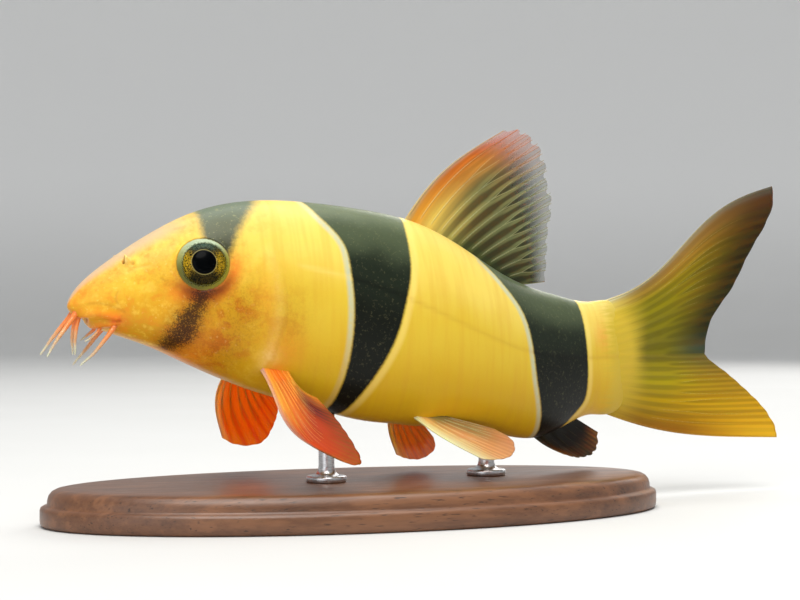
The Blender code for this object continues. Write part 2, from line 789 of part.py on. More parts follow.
def median_fin(name, roots, tips, bow, wave, rays, rows, sway, clearance, colour):
    """A fin in the body's middle plane.

    bow and wave bend the first ray and fade to the last, and sway moves the fin out to one side.
    """
    root_line, tip_line = curve_through(roots), curve_through(tips)

    def place(t, r):
        fade = 1 - t
        s, up = ray_curve(root_line(t), tip_line(t), bow * fade, wave * fade)(r)
        return body_to_world(s * MM, sway(t, r) * MM, up * MM)

    thickness = fin_thickness(rays, MEDIAN_ROOT_TO)
    fin = fin_mesh(name, place, fin_columns(rays), fin_rows(rows), thickness)
    cut(fin, clearance)
    keep_largest(fin)
    finish(fin, colour)


def paired_fin(name, at, root_width, tips, held, cup, bow, rays, rows, side, clearance, colour):
    """A fin on one flank.

    held gives the way of its rays and how far it is spread, and cup is how far its edge curls.
    """
    along, spread = held
    ray_way = Vector(along).normalized()
    axis_way = Vector((1.0, 0.0, 0.0))
    chord_way = (axis_way - ray_way * axis_way.dot(ray_way)).normalized()
    facing = ray_way.cross(chord_way)
    tip_line = curve_through(tips)
    reach = max(tip[1] for tip in tips)

    def place(t, r):
        shift = axis_way * (t - 0.5) * root_width
        root = np.array([shift.dot(chord_way), shift.dot(ray_way)])
        tip = tip_line(t) * np.array([spread, 1.0])
        chord, ahead = ray_curve(root, tip, bow * (1 - t), 0.0)(r)
        curl = cup * (ahead / reach) ** 2
        local = Vector(at) + ray_way * ahead + chord_way * chord + facing * curl
        s, out, up = local
        return body_to_world(s * MM, side * out * MM, up * MM)

    thickness = fin_thickness(rays, PAIRED_ROOT_TO)
    fin = fin_mesh(name, place, fin_columns(rays), fin_rows(rows), thickness)
    cut(fin, clearance)
    keep_largest(fin)
    finish(fin, colour)


def build_fins(clearance):
    median_fin(
        name="dorsal_fin",
        roots=DORSAL_ROOT,
        tips=DORSAL_TIPS,
        bow=0.1,
        wave=0.0,
        rays=DORSAL_RAYS,
        rows=8,
        sway=lambda t, r: -0.8 * r * r * (1 - t),
        clearance=clearance,
        colour="fin_olive",
    )
    median_fin(
        name="caudal_fin_upper",
        roots=CAUDAL_UPPER_ROOT,
        tips=CAUDAL_UPPER_TIPS,
        bow=0.0,
        wave=-0.026,
        rays=CAUDAL_RAYS,
        rows=10,
        sway=lambda t, r: 0.6 * r * r,
        clearance=clearance,
        colour="fin_amber",
    )
    median_fin(
        name="caudal_fin_lower",
        roots=CAUDAL_LOWER_ROOT,
        tips=CAUDAL_LOWER_TIPS,
        bow=-0.05,
        wave=0.0,
        rays=CAUDAL_RAYS,
        rows=10,
        sway=lambda t, r: 0.6 * r * r,
        clearance=clearance,
        colour="fin_amber",
    )
    median_fin(
        name="anal_fin",
        roots=ANAL_ROOT,
        tips=ANAL_TIPS,
        bow=-0.06,
        wave=0.0,
        rays=ANAL_RAYS,
        rows=6,
        sway=lambda t, r: 0.0,
        clearance=clearance,
        colour="fin_black",
    )
    for side, word in ((1, "left"), (-1, "right")):
        paired_fin(
            name="pectoral_fin_" + word,
            at=PECTORAL_AT,
            root_width=PECTORAL_ROOT_WIDTH,
            tips=PECTORAL_TIPS,
            held=PECTORAL_HELD[word],
            cup=PECTORAL_CUP,
            bow=0.1,
            rays=PECTORAL_RAYS,
            rows=9,
            side=side,
            clearance=clearance,
            colour="fin_orange",
        )
        paired_fin(
            name="pelvic_fin_" + word,
            at=PELVIC_AT,
            root_width=PELVIC_ROOT_WIDTH,
            tips=PELVIC_TIPS,
            held=PELVIC_HELD[word],
            cup=PELVIC_CUP,
            bow=0.06,
            rays=PELVIC_RAYS,
            rows=7,
            side=side,
            clearance=clearance,
            colour="fin_orange",
        )


def build_stand(clearance):
    """A flat oval base and two rods whose tops follow the belly."""
    made = bmesh.new()
    bmesh.ops.create_cone(
        made, cap_ends=True, segments=BASE_SIDES, radius1=0.5, radius2=0.5, depth=BASE_THICKNESS
    )
    made.transform(
        Matrix.Translation((0.0, 0.0, BASE_THICKNESS / 2))
        @ Matrix.Diagonal((BASE_LENGTH, BASE_WIDTH, 1.0, 1.0))
    )
    rims = [e for e in made.edges if abs(e.verts[0].co.z - e.verts[1].co.z) < WELD]
    bmesh.ops.bevel(
        made,
        geom=rims,
        offset=BASE_BEVEL,
        segments=2,
        profile=0.5,
        affect="EDGES",
    )
    finish(object_from(made, "stand_base"), "walnut")
    for s, word in ((FRONT_ROD_AT, "front"), (REAR_ROD_AT, "rear")):
        belly = section(s)[1]
        foot = body_to_world(s, 0.0, -AXIS_HEIGHT)
        foot.z = BASE_THICKNESS + GAP
        top = AXIS_HEIGHT + belly + ROD_INTO_BELLY
        up = Vector((0.0, 0.0, 1.0))
        rod = peg("stand_rod_" + word, foot, up, ROD_RADIUS, top - foot.z, ROD_SIDES)
        unite(rod, [peg("rod_foot", foot, up, ROD_FOOT_RADIUS, ROD_FOOT_HEIGHT, ROD_SIDES)])
        cut(rod, clearance)
        keep_largest(rod)
        finish(rod, "steel", roughness=0.3, metallic=1.0)


clear_scene()
WORKSHOP = collection("workshop")
PARTS = collection("clown_loach")
build_flesh()
swollen = body_mesh("swollen_body", GAP)
unite(swollen, head_forms(GAP))
build_eyes()
build_barbels([swollen])
build_fins([swollen])
build_stand([swollen])
bpy.data.objects.remove(swollen)
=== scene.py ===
import math

import bmesh
import bpy
import numpy as np
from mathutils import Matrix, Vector


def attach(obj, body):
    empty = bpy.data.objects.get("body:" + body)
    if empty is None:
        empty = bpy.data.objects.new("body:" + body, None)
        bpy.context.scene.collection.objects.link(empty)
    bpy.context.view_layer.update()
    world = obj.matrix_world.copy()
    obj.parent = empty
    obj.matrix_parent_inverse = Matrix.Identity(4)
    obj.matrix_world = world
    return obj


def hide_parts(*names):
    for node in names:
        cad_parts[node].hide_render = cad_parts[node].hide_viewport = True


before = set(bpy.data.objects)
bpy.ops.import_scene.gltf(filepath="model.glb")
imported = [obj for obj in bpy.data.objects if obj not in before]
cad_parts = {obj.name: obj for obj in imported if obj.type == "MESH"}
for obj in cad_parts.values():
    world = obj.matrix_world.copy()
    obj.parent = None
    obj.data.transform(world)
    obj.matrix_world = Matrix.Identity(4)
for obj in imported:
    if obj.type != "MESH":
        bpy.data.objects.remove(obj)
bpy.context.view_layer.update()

# The skin: one closed hide, with scales too fine to see, over head, gill covers, trunk and tail.
# It is laid over sections along a bent spine, in millimetres. The lips, nostrils, eye sockets,
# gill slits and fin roots are modelled in it by raising and sinking the surface.
MM = 0.001
SNOUT_X = -42.0
SPINE_Y = -2.0
AXIS_HEIGHT = 30.0
BODY_LENGTH = 85.0
BEND_START = 34.0
BEND_ANGLE = math.radians(18)
TAIL_FIN_LENGTH = 34.0
TAIL_FIN_RETURN = math.radians(14)
SPINE_STEP = 0.5
SPINE_REACH = 126.0
# Distance from the snout, height of the back, height of the belly, half width.
SECTIONS = np.array((
    (0.0, -0.8, -0.8, 0.0),
    (0.5, 0.6, -1.7, 1.3),
    (1.5, 1.95, -2.6, 2.1),
    (4.0, 4.15, -3.8, 3.2),
    (7.0, 6.3, -4.8, 4.2),
    (12.0, 9.4, -6.6, 5.5),
    (18.0, 12.1, -9.3, 6.8),
    (26.0, 13.5, -12.5, 7.9),
    (34.0, 13.3, -14.8, 8.3),
    (42.0, 12.4, -16.8, 8.2),
    (49.0, 10.9, -17.4, 7.7),
    (56.0, 7.8, -18.1, 6.9),
    (63.0, 4.0, -19.2, 5.7),
    (69.0, 1.8, -20.0, 4.6),
    (74.0, 0.7, -18.8, 3.7),
    (79.0, -0.2, -17.2, 2.9),
    (85.0, -0.1, -17.0, 2.0),
))
# The tail closes inside the root of its fin.
TAIL_END = np.concatenate([SECTIONS[-2:], (
    (86.8, -0.7, -16.3, 1.45),
    (88.8, -2.6, -13.9, 0.78),
    (90.2, -5.4, -11.0, 0.28),
    (90.6, -8.2, -8.2, 0.0),
)])
TAIL_TIP = TAIL_END[-1, 0]
WIDEST_SHARE = 0.44
BACK_ROUNDNESS = 1.95
BELLY_ROUNDNESS = 2.35


def spline(knots, values):
    """A natural cubic spline through the values at the knots, as a function of arrays."""
    x, y = np.asarray(knots, float), np.asarray(values, float)
    steps, slopes = np.diff(x), np.diff(y) / np.diff(x)
    matrix = np.eye(len(x))
    right = np.zeros(len(x))
    for i in range(1, len(x) - 1):
        matrix[i, i - 1 : i + 2] = steps[i - 1], 2 * (steps[i - 1] + steps[i]), steps[i]
        right[i] = 6 * (slopes[i] - slopes[i - 1])
    bend = np.linalg.solve(matrix, right)

    def at(q):
        q = np.clip(q, x[0], x[-1])
        i = np.clip(np.searchsorted(x, q, side="right") - 1, 0, len(x) - 2)
        step, a, b = steps[i], x[i + 1] - q, q - x[i]
        return (
            (bend[i] * a**3 + bend[i + 1] * b**3) / (6 * step)
            + (y[i] / step - bend[i] * step / 6) * a
            + (y[i + 1] / step - bend[i + 1] * step / 6) * b
        )

    return at


def curve_through(points):
    """A smooth curve through the points, as a function of arrays of 0 to 1."""
    points = np.asarray(points, float)
    lengths = np.linalg.norm(np.diff(points, axis=0), axis=1)
    knots = np.concatenate([[0], np.cumsum(lengths)]) / lengths.sum()
    parts = [spline(knots, points[:, k]) for k in range(points.shape[1])]
    return lambda t: np.stack([part(np.asarray(t, float)) for part in parts], axis=-1)


def smooth(low, high, value):
    """0 below low, 1 above high, and an even turn between them."""
    t = np.clip((value - low) / (high - low), 0, 1)
    return t * t * (3 - 2 * t)


def swell(distance, width):
    """1 at no distance, falling away like a soft mound."""
    return np.exp(-((distance / width) ** 2))


def unit(way):
    """The same way or ways, one unit long."""
    way = np.asarray(way, float)
    return way / np.linalg.norm(way, axis=-1, keepdims=True)


def heading(s):
    """How far the spine is turned to the fish's right, by distance from the snout."""
    body = BEND_ANGLE * smooth(BEND_START, BODY_LENGTH, s)
    return body - TAIL_FIN_RETURN * smooth(BODY_LENGTH, BODY_LENGTH + TAIL_FIN_LENGTH, s)


SPINE_AT = np.arange(0, SPINE_REACH, SPINE_STEP)
SPINE_TURNS = heading(SPINE_AT[1:])
SPINE_ALONG = SNOUT_X + SPINE_STEP * np.concatenate([[0], np.cumsum(np.cos(SPINE_TURNS))])
SPINE_ASIDE = SPINE_Y + SPINE_STEP * np.concatenate([[0], np.cumsum(np.sin(SPINE_TURNS))])


def placed(s, out, up):
    """World places, in millimetres, of distances from the snout, out to the left, and up."""
    s, out, up = np.broadcast_arrays(s, out, up)
    turn = heading(s)
    x = np.interp(s, SPINE_AT, SPINE_ALONG) + np.minimum(s, 0)
    y = np.interp(s, SPINE_AT, SPINE_ASIDE)
    return np.stack([x + out * np.sin(turn), y - out * np.cos(turn), AXIS_HEIGHT + up], axis=-1)


# Both round ends are splined over the root of the distance from them, which keeps them round.
FRONT_FORM = [spline(np.sqrt(SECTIONS[:, 0]), SECTIONS[:, k]) for k in (1, 2, 3)]
END_ROOTS = np.sqrt(TAIL_TIP - TAIL_END[::-1, 0])
END_FORM = [spline(END_ROOTS, TAIL_END[::-1, k]) for k in (1, 2, 3)]


def section(s):
    """Back height, belly height and half width of the body."""
    share = smooth(TAIL_END[0, 0], TAIL_END[1, 0], s)
    front, end = np.sqrt(np.maximum(s, 0)), np.sqrt(np.maximum(TAIL_TIP - s, 0))
    return [a(front) * (1 - share) + b(end) * share for a, b in zip(FRONT_FORM, END_FORM)]


def grid_faces(rows, columns, wrap_rows=False, wrap_columns=True):
    """Quads between neighbouring points of a grid that is numbered row by row."""
    row = np.arange(rows if wrap_rows else rows - 1)
    column = np.arange(columns if wrap_columns else columns - 1)
    i, j = np.meshgrid(row, column, indexing="ij")
    after, beside = (i + 1) % rows, (j + 1) % columns
    corners = (i * columns + j, after * columns + j, after * columns + beside, i * columns + beside)
    return np.stack(corners, axis=-1).reshape(-1, 4).tolist()


def closed_faces(rows, columns):
    """The quads of a grid, and triangles to two poles that are numbered after its points."""
    faces = grid_faces(rows, columns)
    pole, last = rows * columns, (rows - 1) * columns
    for j in range(columns):
        beside = (j + 1) % columns
        faces += [(pole, beside, j), (pole + 1, last + j, last + beside)]
    return faces


def put_marks(data, marks):
    """Keeps named values with the points of a mesh, for its finish to read."""
    for name, values in marks.items():
        layer = data.attributes.new(name, "FLOAT", "POINT")
        layer.data.foreach_set("value", np.asarray(values, np.float32).ravel())


def mesh_of(name, points, faces, marks=None):
    """A smooth mesh from points in millimetres, with its faces outwards and its named marks."""
    data = bpy.data.meshes.new(name)
    data.from_pydata((np.asarray(points).reshape(-1, 3) * MM).tolist(), [], faces)
    made = bmesh.new()
    made.from_mesh(data)
    bmesh.ops.recalc_face_normals(made, faces=made.faces)
    made.to_mesh(data)
    made.free()
    put_marks(data, marks or {})
    data.shade_smooth()
    return data


def add_piece(name, data, finish):
    """Links a finished mesh as an object at the origin."""
    piece = bpy.data.objects.new(name, data)
    bpy.context.scene.collection.objects.link(piece)
    data.materials.clear()
    data.materials.append(finish)
    return piece


def angles_round(sides):
    """Even angles round a full turn."""
    return 2 * math.pi * np.arange(sides) / sides


# The rings of the skin crowd together at its round ends, and on the face they stand closer.
SKIN_SIDES = 232
NOSE_REACH, NOSE_RINGS = 1.2, 24
RING_RUNS = ((1.3, 9.5, 0.09), (9.5, 30.5, 0.15), (30.5, 88.7, 0.42))
TIP_REACH, TIP_RINGS = 1.7, 14
RING_PLACES = np.concatenate([
    NOSE_REACH * (np.arange(1, NOSE_RINGS + 1) / NOSE_RINGS) ** 2,
    *[np.arange(*run) for run in RING_RUNS],
    TAIL_TIP - TIP_REACH * (np.arange(TIP_RINGS - 1, 0, -1) / TIP_RINGS) ** 2,
])
RINGS = len(RING_PLACES)
along = np.repeat(RING_PLACES[:, None], SKIN_SIDES, axis=1)
back, belly, half = section(along)
middle = belly + WIDEST_SHARE * (back - belly)
across, rise = np.cos(angles_round(SKIN_SIDES))[None, :], np.sin(angles_round(SKIN_SIDES))[None, :]
power = 2 / np.where(rise >= 0, BACK_ROUNDNESS, BELLY_ROUNDNESS)
out = half * np.sign(across) * np.abs(across) ** power
reach = np.where(rise >= 0, back - middle, middle - belly)
up = middle + reach * np.sign(rise) * np.abs(rise) ** power
flank_out = np.abs(out)

# The mouth: the underside of the snout is a flat roof, and the lower jaw starts behind it. The
# lips are soft ridges with a slit between them.
MOUTH_ROOF = -2.05
JAW_FRONT = (2.2, 2.9)
JAW_DROP = 1.9
ROOF_END = (3.0, 3.6)
roof = MOUTH_ROOF - JAW_DROP * smooth(*JAW_FRONT, along)
up = up + (np.maximum(up, roof) - up) * (1 - smooth(*ROOF_END, along))
HEAD_REACH = 40.0
HEAD_RINGS = RING_PLACES < HEAD_REACH
head = (along[HEAD_RINGS], flank_out[HEAD_RINGS], up[HEAD_RINGS])
head_side = (head[0], head[2])


def near_route(route, coordinates, width, steps=48):
    """A soft ridge on the head along a smooth curve through the route, and nought elsewhere."""
    line = curve_through(route)(np.linspace(0, 1, steps))
    points = np.stack(coordinates, axis=-1)
    best = np.full(points.shape[:-1], np.inf)
    for start, end in zip(line, line[1:]):
        span = end - start
        share = np.clip(((points - start) @ span) / (span @ span), 0, 1)
        best = np.minimum(best, np.linalg.norm(points - start - share[..., None] * span, axis=-1))
    field = np.zeros_like(along)
    field[HEAD_RINGS] = swell(best, width)
    return field


# Each form of the mouth: how far it rises or sinks, its width, and its route from the corner.
MOUTH_FORMS = {
    "upper_lip": (0.34, 0.55, ((5.7, 3.35, -2.35), (3.7, 2.75, -1.8), (2.0, 1.7, -1.85),
                               (1.25, 0.0, -2.0))),
    "lower_lip": (0.26, 0.5, ((5.7, 3.2, -3.1), (4.6, 2.5, -3.3), (3.5, 1.35, -3.4),
                              (3.15, 0.0, -3.45))),
    "slit": (-0.32, 0.2, ((6.2, 3.35, -2.75), (4.6, 2.75, -2.5), (3.0, 1.7, -2.45),
                          (2.3, 0.0, -2.4))),
    "fold": (-0.08, 0.22, ((6.6, 3.9, -1.6), (4.6, 3.3, -0.75), (2.6, 2.5, -0.55),
                           (1.4, 1.6, -0.9))),
}
mouth = {name: near_route(route, head, width) for name, (_, width, route) in MOUTH_FORMS.items()}
form = sum(height * mouth[name] for name, (height, _, _) in MOUTH_FORMS.items())

# Gill openings, cheeks and the folds of the face, in side view. The cover ends in a low step over
# the opening behind it.
GILL_SLIT = ((24.2, -10.5), (25.3, -8.0), (26.6, -3.8), (27.0, 0.2), (26.0, 6.2))
GILL_STEP = 0.13
GILL_RUN = 2.6
GILL_FALL = 0.9
GILL_LOW = (-10.6, -8.6)
GILL_HIGH = (5.6, 7.6)
GILL_RIM_AHEAD = 0.5
GILL_RIM_WIDTH = 0.8
GILL_PLATE = ((25.6, -9.4), (22.6, -7.0), (20.9, -3.0), (21.6, 1.2), (24.0, 5.4))
GILL_PLATE_WIDTH = 0.55
GILL_PLATE_HEIGHT = 0.07
FACE_FOLDS = (
    ((7.2, 3.7), (8.6, 4.3), (10.0, 4.6)),
    ((11.2, 2.8), (12.4, 2.2), (13.7, 2.0)),
    ((11.6, 2.1), (12.7, 1.7), (13.6, 1.6)),
    ((5.9, 1.1), (5.5, 0.3), (5.8, -0.6)),
)
FOLD_WIDTH = 0.16
FOLD_DEPTH = 0.05
slit_at = spline([p[1] for p in GILL_SLIT], [p[0] for p in GILL_SLIT])
past_slit = along - slit_at(up)
slit_reach = smooth(*GILL_LOW, up) * (1 - smooth(*GILL_HIGH, up))
gill_rim = swell(past_slit + GILL_RIM_AHEAD, GILL_RIM_WIDTH) * slit_reach
gill_step = 1 - smooth(0, 1, np.maximum(-past_slit / GILL_RUN, past_slit / GILL_FALL))
face_folds = sum(near_route(fold, head_side, FOLD_WIDTH) for fold in FACE_FOLDS)
form += GILL_STEP * gill_step * slit_reach
form += GILL_PLATE_HEIGHT * near_route(GILL_PLATE, head_side, GILL_PLATE_WIDTH)
form -= FOLD_DEPTH * face_folds


def mounds(*rows):
    """Soft mounds on both flanks: strength, distance from the snout, height, width, tallness."""
    return sum(
        strength * swell(np.hypot(along - s, (up - z) / tall), width)
        for strength, s, z, width, tall in rows
    )


# The lateral line, a faint furrow down the flank, and flesh over cheeks, gill covers and the
# roots of the paired fins.
LATERAL_LINE = ((28.6, 4.8), (40.0, 2.0), (52.0, -2.8), (62.0, -6.6), (74.0, -8.4), (86.0, -8.5))
LATERAL_LINE_START = (28.4, 31.0)
LATERAL_LINE_WIDTH = 0.32
LATERAL_LINE_DEPTH = 0.035
PECTORAL_AT = (25.9, 5.1, -8.4)
PELVIC_AT = (48.9, 3.9, -15.9)
line_at = spline([p[0] for p in LATERAL_LINE], [p[1] for p in LATERAL_LINE])
lateral_line = swell(up - line_at(along), LATERAL_LINE_WIDTH) * smooth(*LATERAL_LINE_START, along)
cheek_flesh = (0.3, 18.5, -4.0, 4.2, 1.0)
gill_flesh = (0.22, 24.6, -1.5, 3.4, 1.5)
pectoral_flesh = (0.16, PECTORAL_AT[0] + 0.6, PECTORAL_AT[2] + 0.2, 2.4, 1.0)
pelvic_flesh = (0.35, PELVIC_AT[0], PELVIC_AT[2], 2.0, 1.0)
form += mounds(cheek_flesh, gill_flesh, pectoral_flesh, pelvic_flesh)
form -= LATERAL_LINE_DEPTH * lateral_line

# The relief is laid on along the skin's own outward way, and eases in behind the snout's tip.
NOSE_KEPT = (0.15, 1.2)
skin = placed(along, out, up)
aroundwise = np.roll(skin, -1, axis=1) - np.roll(skin, 1, axis=1)
outwards = unit(np.cross(np.gradient(skin, axis=0), aroundwise))
skin += outwards * (form * smooth(*NOSE_KEPT, along))[..., None]

# Eye sockets and nostrils, each made round its own axis. A socket has a raised rim and a sunk
# floor for the ball, and a nostril has two pits with a flap of skin between them.
EYE_AT = (16.86, 4.8, 4.45)
EYE_RADIUS = 3.45
EYE_DEPTH = 2.5
EYE_TURN = math.radians(9)
EYE_TILT = math.radians(14)
EYE_SURROUND = 8.0
FACE_REACH = 30.0
SOCKET_RADIUS = 3.47
SOCKET_SLOPE = 0.3
SOCKET_DEPTH = 1.0
RIM_RADIUS = 3.62
RIM_WIDTH = 0.36
RIM_HEIGHT = 0.22
RIM_SEAT = 0.25
# Colours round the eye: distance from its axis, width, the way they lie in degrees below the rear,
# and how far towards that way they start and are full. The socket's is painted shade low in the
# socket's edge; the halo and the glow below are the skin's own orange and brown.
EYE_SHADES = {
    # Painted shade low in the socket's edge.
    "socket": (3.47, 0.3, 90, -0.5, 0.4),
    "halo": (4.2, 1.0, 55, -0.1, 0.8),
    "glow_below": (4.1, 0.9, 84, 0.2, 0.95),
}
NOSTRIL_AT = (7.0, 2.5, 4.9)
NOSTRIL_OPENS = (-0.45, 0.55, 0.75)
NOSTRIL_SURROUND = 2.5
NOSTRIL_RADIUS = 0.48
NOSTRIL_PIT = (0.14, 0.38)
NOSTRIL_PIT_DEPTH = 0.6
HIND_PIT_BEHIND = 1.15
HIND_PIT_WIDTH = 0.26
HIND_PIT_DEPTH = 0.3
HIND_PIT_SHADE = 0.6
NOSTRIL_RIM = 0.14
NOSTRIL_RIM_WIDTH = 0.2
NOSTRIL_FLAP = 0.85
FLAP_RISES = math.radians(25)
FLAP_REACH = (-0.1, 0.8)
FLAP_MARK_WIDTH = 0.24


def axes_about(outward, side):
    """Unit vectors outwards, upwards and rearwards of a round form on one flank."""
    outward = unit(outward)
    upright = unit(np.array([0.0, 0.0, 1.0]) - outward * outward[2])
    return outward, upright, side * np.cross(upright, outward)


def eye_frame(side):
    """The eye's middle and its axes."""
    outward = (
        -math.sin(EYE_TURN) * math.cos(EYE_TILT),
        -side * math.cos(EYE_TURN) * math.cos(EYE_TILT),
        math.sin(EYE_TILT),
    )
    return placed(EYE_AT[0], side * EYE_AT[1], EYE_AT[2]), *axes_about(outward, side)


def turned_about(centre, outward, upright, rearward):
    """Height over a round form's plane, distance from its axis and angle round it."""
    offset = skin - centre
    height = offset @ outward
    y, x = offset @ upright, offset @ rearward
    return height, np.hypot(x, y), np.arctan2(y, x)


def seat_terms(angle):
    """The waves round the eye that the height of its rim is made of."""
    waves = [np.ones_like(angle)]
    for k in (1, 2):
        waves += [np.cos(k * angle), np.sin(k * angle)]
    return np.stack(waves, axis=-1)


eye_seats = {}
eye_shades = {name: np.zeros_like(along) for name in EYE_SHADES}
nostril_shade, nostril_flap = np.zeros_like(along), np.zeros_like(along)
for side in (1, -1):
    flank = (np.sign(out) == side) & (along < FACE_REACH)
    centre, outward, upright, rearward = eye_frame(side)
    height, radius, angle = turned_about(centre, outward, upright, rearward)
    near = flank & (radius < EYE_SURROUND)
    skin += outward * (RIM_HEIGHT * swell(radius - RIM_RADIUS, RIM_WIDTH) * near)[..., None]
    height, radius, angle = turned_about(centre, outward, upright, rearward)
    seat = near & (np.abs(radius - RIM_RADIUS) < RIM_SEAT)
    eye_seats[side] = np.linalg.lstsq(seat_terms(angle[seat]), height[seat], rcond=None)[0]
    sunk = near * (1 - smooth(SOCKET_RADIUS - SOCKET_SLOPE, SOCKET_RADIUS, radius))
    skin -= outward * ((height + SOCKET_DEPTH) * sunk)[..., None]
    for name, (ring, width, way, start, full) in EYE_SHADES.items():
        turned = smooth(start, full, np.cos(angle + math.radians(way)))
        shade = near * swell(radius - ring, width) * turned
        eye_shades[name] = np.maximum(eye_shades[name], shade)

    centre = placed(NOSTRIL_AT[0], side * NOSTRIL_AT[1], NOSTRIL_AT[2])
    opens = (NOSTRIL_OPENS[0], -side * NOSTRIL_OPENS[1], NOSTRIL_OPENS[2])
    outward, upright, rearward = axes_about(opens, side)
    height, radius, angle = turned_about(centre, outward, upright, rearward)
    near = flank & (radius < NOSTRIL_SURROUND)
    behind = smooth(*FLAP_REACH, np.cos(angle - FLAP_RISES))
    flap = (NOSTRIL_RIM + NOSTRIL_FLAP * behind) * swell(radius - NOSTRIL_RADIUS, NOSTRIL_RIM_WIDTH)
    pit = 1 - smooth(*NOSTRIL_PIT, radius)
    from_hind_pit = np.hypot(radius * np.cos(angle) - HIND_PIT_BEHIND, radius * np.sin(angle))
    hind_pit = swell(from_hind_pit, HIND_PIT_WIDTH)
    relief = flap - NOSTRIL_PIT_DEPTH * pit - HIND_PIT_DEPTH * hind_pit
    skin += outward * (relief * near)[..., None]
    pits = np.maximum(pit, HIND_PIT_SHADE * hind_pit)
    nostril_shade = np.maximum(nostril_shade, near * pits)
    flap_mark = near * swell(radius - NOSTRIL_RADIUS, FLAP_MARK_WIDTH) * behind
    nostril_flap = np.maximum(nostril_flap, flap_mark)

# Markings: each dark band has a front and a rear edge, as heights and distances from the snout.
# A pale line runs before and behind the two bands of the body.
BANDS = (
    (
        ((5.4, 17.2), (7.4, 17.0), (8.6, 16.9), (9.6, 16.9), (11.0, 16.9), (13.6, 16.6)),
        ((5.4, 20.2), (7.0, 20.9), (8.9, 21.8), (10.9, 23.2), (12.8, 24.9), (13.6, 25.8)),
    ),
    (
        ((-18.0, 34.5), (-14.5, 35.1), (-10.2, 36.0), (-4.4, 36.8), (1.7, 36.9), (4.6, 36.7),
         (6.9, 36.4), (8.9, 35.4), (11.2, 33.5), (13.2, 32.1)),
        ((-18.0, 35.9), (-15.0, 37.4), (-11.1, 39.7), (-5.7, 42.7), (-2.4, 43.9), (0.7, 44.8),
         (3.8, 45.6), (7.0, 45.9), (9.6, 46.1), (12.5, 46.7)),
    ),
    (
        ((-20.4, 68.4), (-16.3, 67.6), (-12.0, 66.3), (-8.7, 65.7), (-5.8, 65.3), (-3.1, 64.7),
         (-0.6, 63.6), (1.6, 62.0), (3.5, 60.5), (5.6, 58.6)),
        ((-19.0, 73.4), (-16.9, 75.1), (-15.4, 76.6), (-12.7, 77.4), (-6.6, 77.3), (0.4, 77.2)),
    ),
)
UNDER_EYE = (
    ((-7.4, 11.6), (-5.5, 11.1), (-3.5, 12.1), (-1.3, 13.3), (0.3, 14.5), (1.8, 15.0)),
    ((-7.4, 13.0), (-6.6, 14.4), (-5.9, 15.4), (-3.5, 16.6), (-0.7, 17.5), (1.8, 18.6)),
)
# Where the patch under the eye ends above and on the throat, and how sharply.
UNDER_EYE_TOP = (1.6, 3.0)
UNDER_EYE_INNER = (2.6, 1.2)
EDGE_STEP = 0.2
HEAD_BAND_SOFTNESS = 0.32
FRONT_LINE_AHEAD = 0.42
REAR_LINE_BEHIND = 0.55
FAR_AWAY = 9.0


def past_edge(edge):
    """How far each skin point lies behind an edge that is given by height."""
    at = spline([p[0] for p in edge], [p[1] for p in edge])
    slope = (at(up + EDGE_STEP) - at(up - EDGE_STEP)) / (2 * EDGE_STEP)
    return (along - at(up)) / np.sqrt(1 + slope**2)


band = np.full_like(along, -FAR_AWAY)
front_line = np.full_like(along, FAR_AWAY)
rear_line = np.full_like(along, FAR_AWAY)
for number, (front, rear) in enumerate(BANDS):
    past_front, past_rear = past_edge(front), past_edge(rear)
    inside = np.minimum(past_front, -past_rear)
    if number == 0:
        inside = HEAD_BAND_SOFTNESS * (inside - np.maximum(front[0][0] - up, 0))
    else:
        front_line = np.minimum(front_line, np.abs(past_front + FRONT_LINE_AHEAD))
        rear_line = np.minimum(rear_line, np.abs(past_rear - REAR_LINE_BEHIND))
    band = np.maximum(band, inside)
patch = np.minimum(past_edge(UNDER_EYE[0]), -past_edge(UNDER_EYE[1]))
patch -= np.maximum(UNDER_EYE[0][0][0] - up, 0)
patch -= UNDER_EYE_TOP[1] * np.maximum(up - UNDER_EYE_TOP[0], 0)
patch -= UNDER_EYE_INNER[1] * np.maximum(UNDER_EYE_INNER[0] - flank_out, 0)

# Where colours lie, as strengths from 0 to 1: mounds, what is added to them, and soft fades by
# distance from the snout, by height, or by share of the way from belly to back.
ORANGE_FLUSHES = (
    (0.5, 13.4, 1.2, 1.9, 1.0),
    (0.6, 15.6, -6.4, 3.4, 1.0),
    (0.25, 24.9, 0.2, 1.3, 2.4),
    (0.5, 26.6, -9.4, 1.0, 1.0),
    (0.4, 81.0, -5.4, 1.6, 1.4),
    (0.35, 27.5, -6.5, 2.5, 1.0),
    (0.7, 6.2, -2.6, 1.3, 1.0),
)
FLUSH_STRENGTHS = {"halo": 0.85, "snout": 0.6, "upper_lip": 0.6, "lower_lip": 0.6}
CHEEK_MOTTLES = (
    (1.0, 20.8, -1.8, 3.4, 1.4),
    (0.8, 18.6, -7.2, 3.0, 1.0),
    (0.4, 12.4, 3.0, 2.6, 1.0),
    (0.36, 28.2, -2.8, 3.0, 1.6),
)
PALE_BLOOMS = ((0.3, 25.6, -7.4, 1.3, 1.0), (0.55, 37.4, -13.2, 0.8, 1.0))
BLOOM_STRENGTHS = {"gill_rim": 0.13, "nostril_flap": 0.8, "tail_bloom": 0.7}
TAIL_BLOOM_AT = 83.6
TAIL_BLOOM_WIDTH = 1.6
# Painted shade in the nostril pits, the low edge of the eye socket, the face folds, the mouth slit
# and the fold over the mouth.
CREASE_SHADE_STRENGTHS = {"nostril": 0.8, "socket": 0.4, "face_folds": 0.16, "slit": 0.32, "fold": 0.2}
FADES = {
    "above_belly": (0.1, 0.55),
    "near_back": (0.9, 0.98),
    "snout": (0.0, 9.0),
    "snout_up": (0.2, 0.8),
    "snout_rim_highlight": (11.0, 18.0),
    "snout_rim_highlight_up": (0.86, 0.985),
    "tail_bloom_up": (-3.5, -0.6),
    "tail_root": (79.0, 86.0),
}
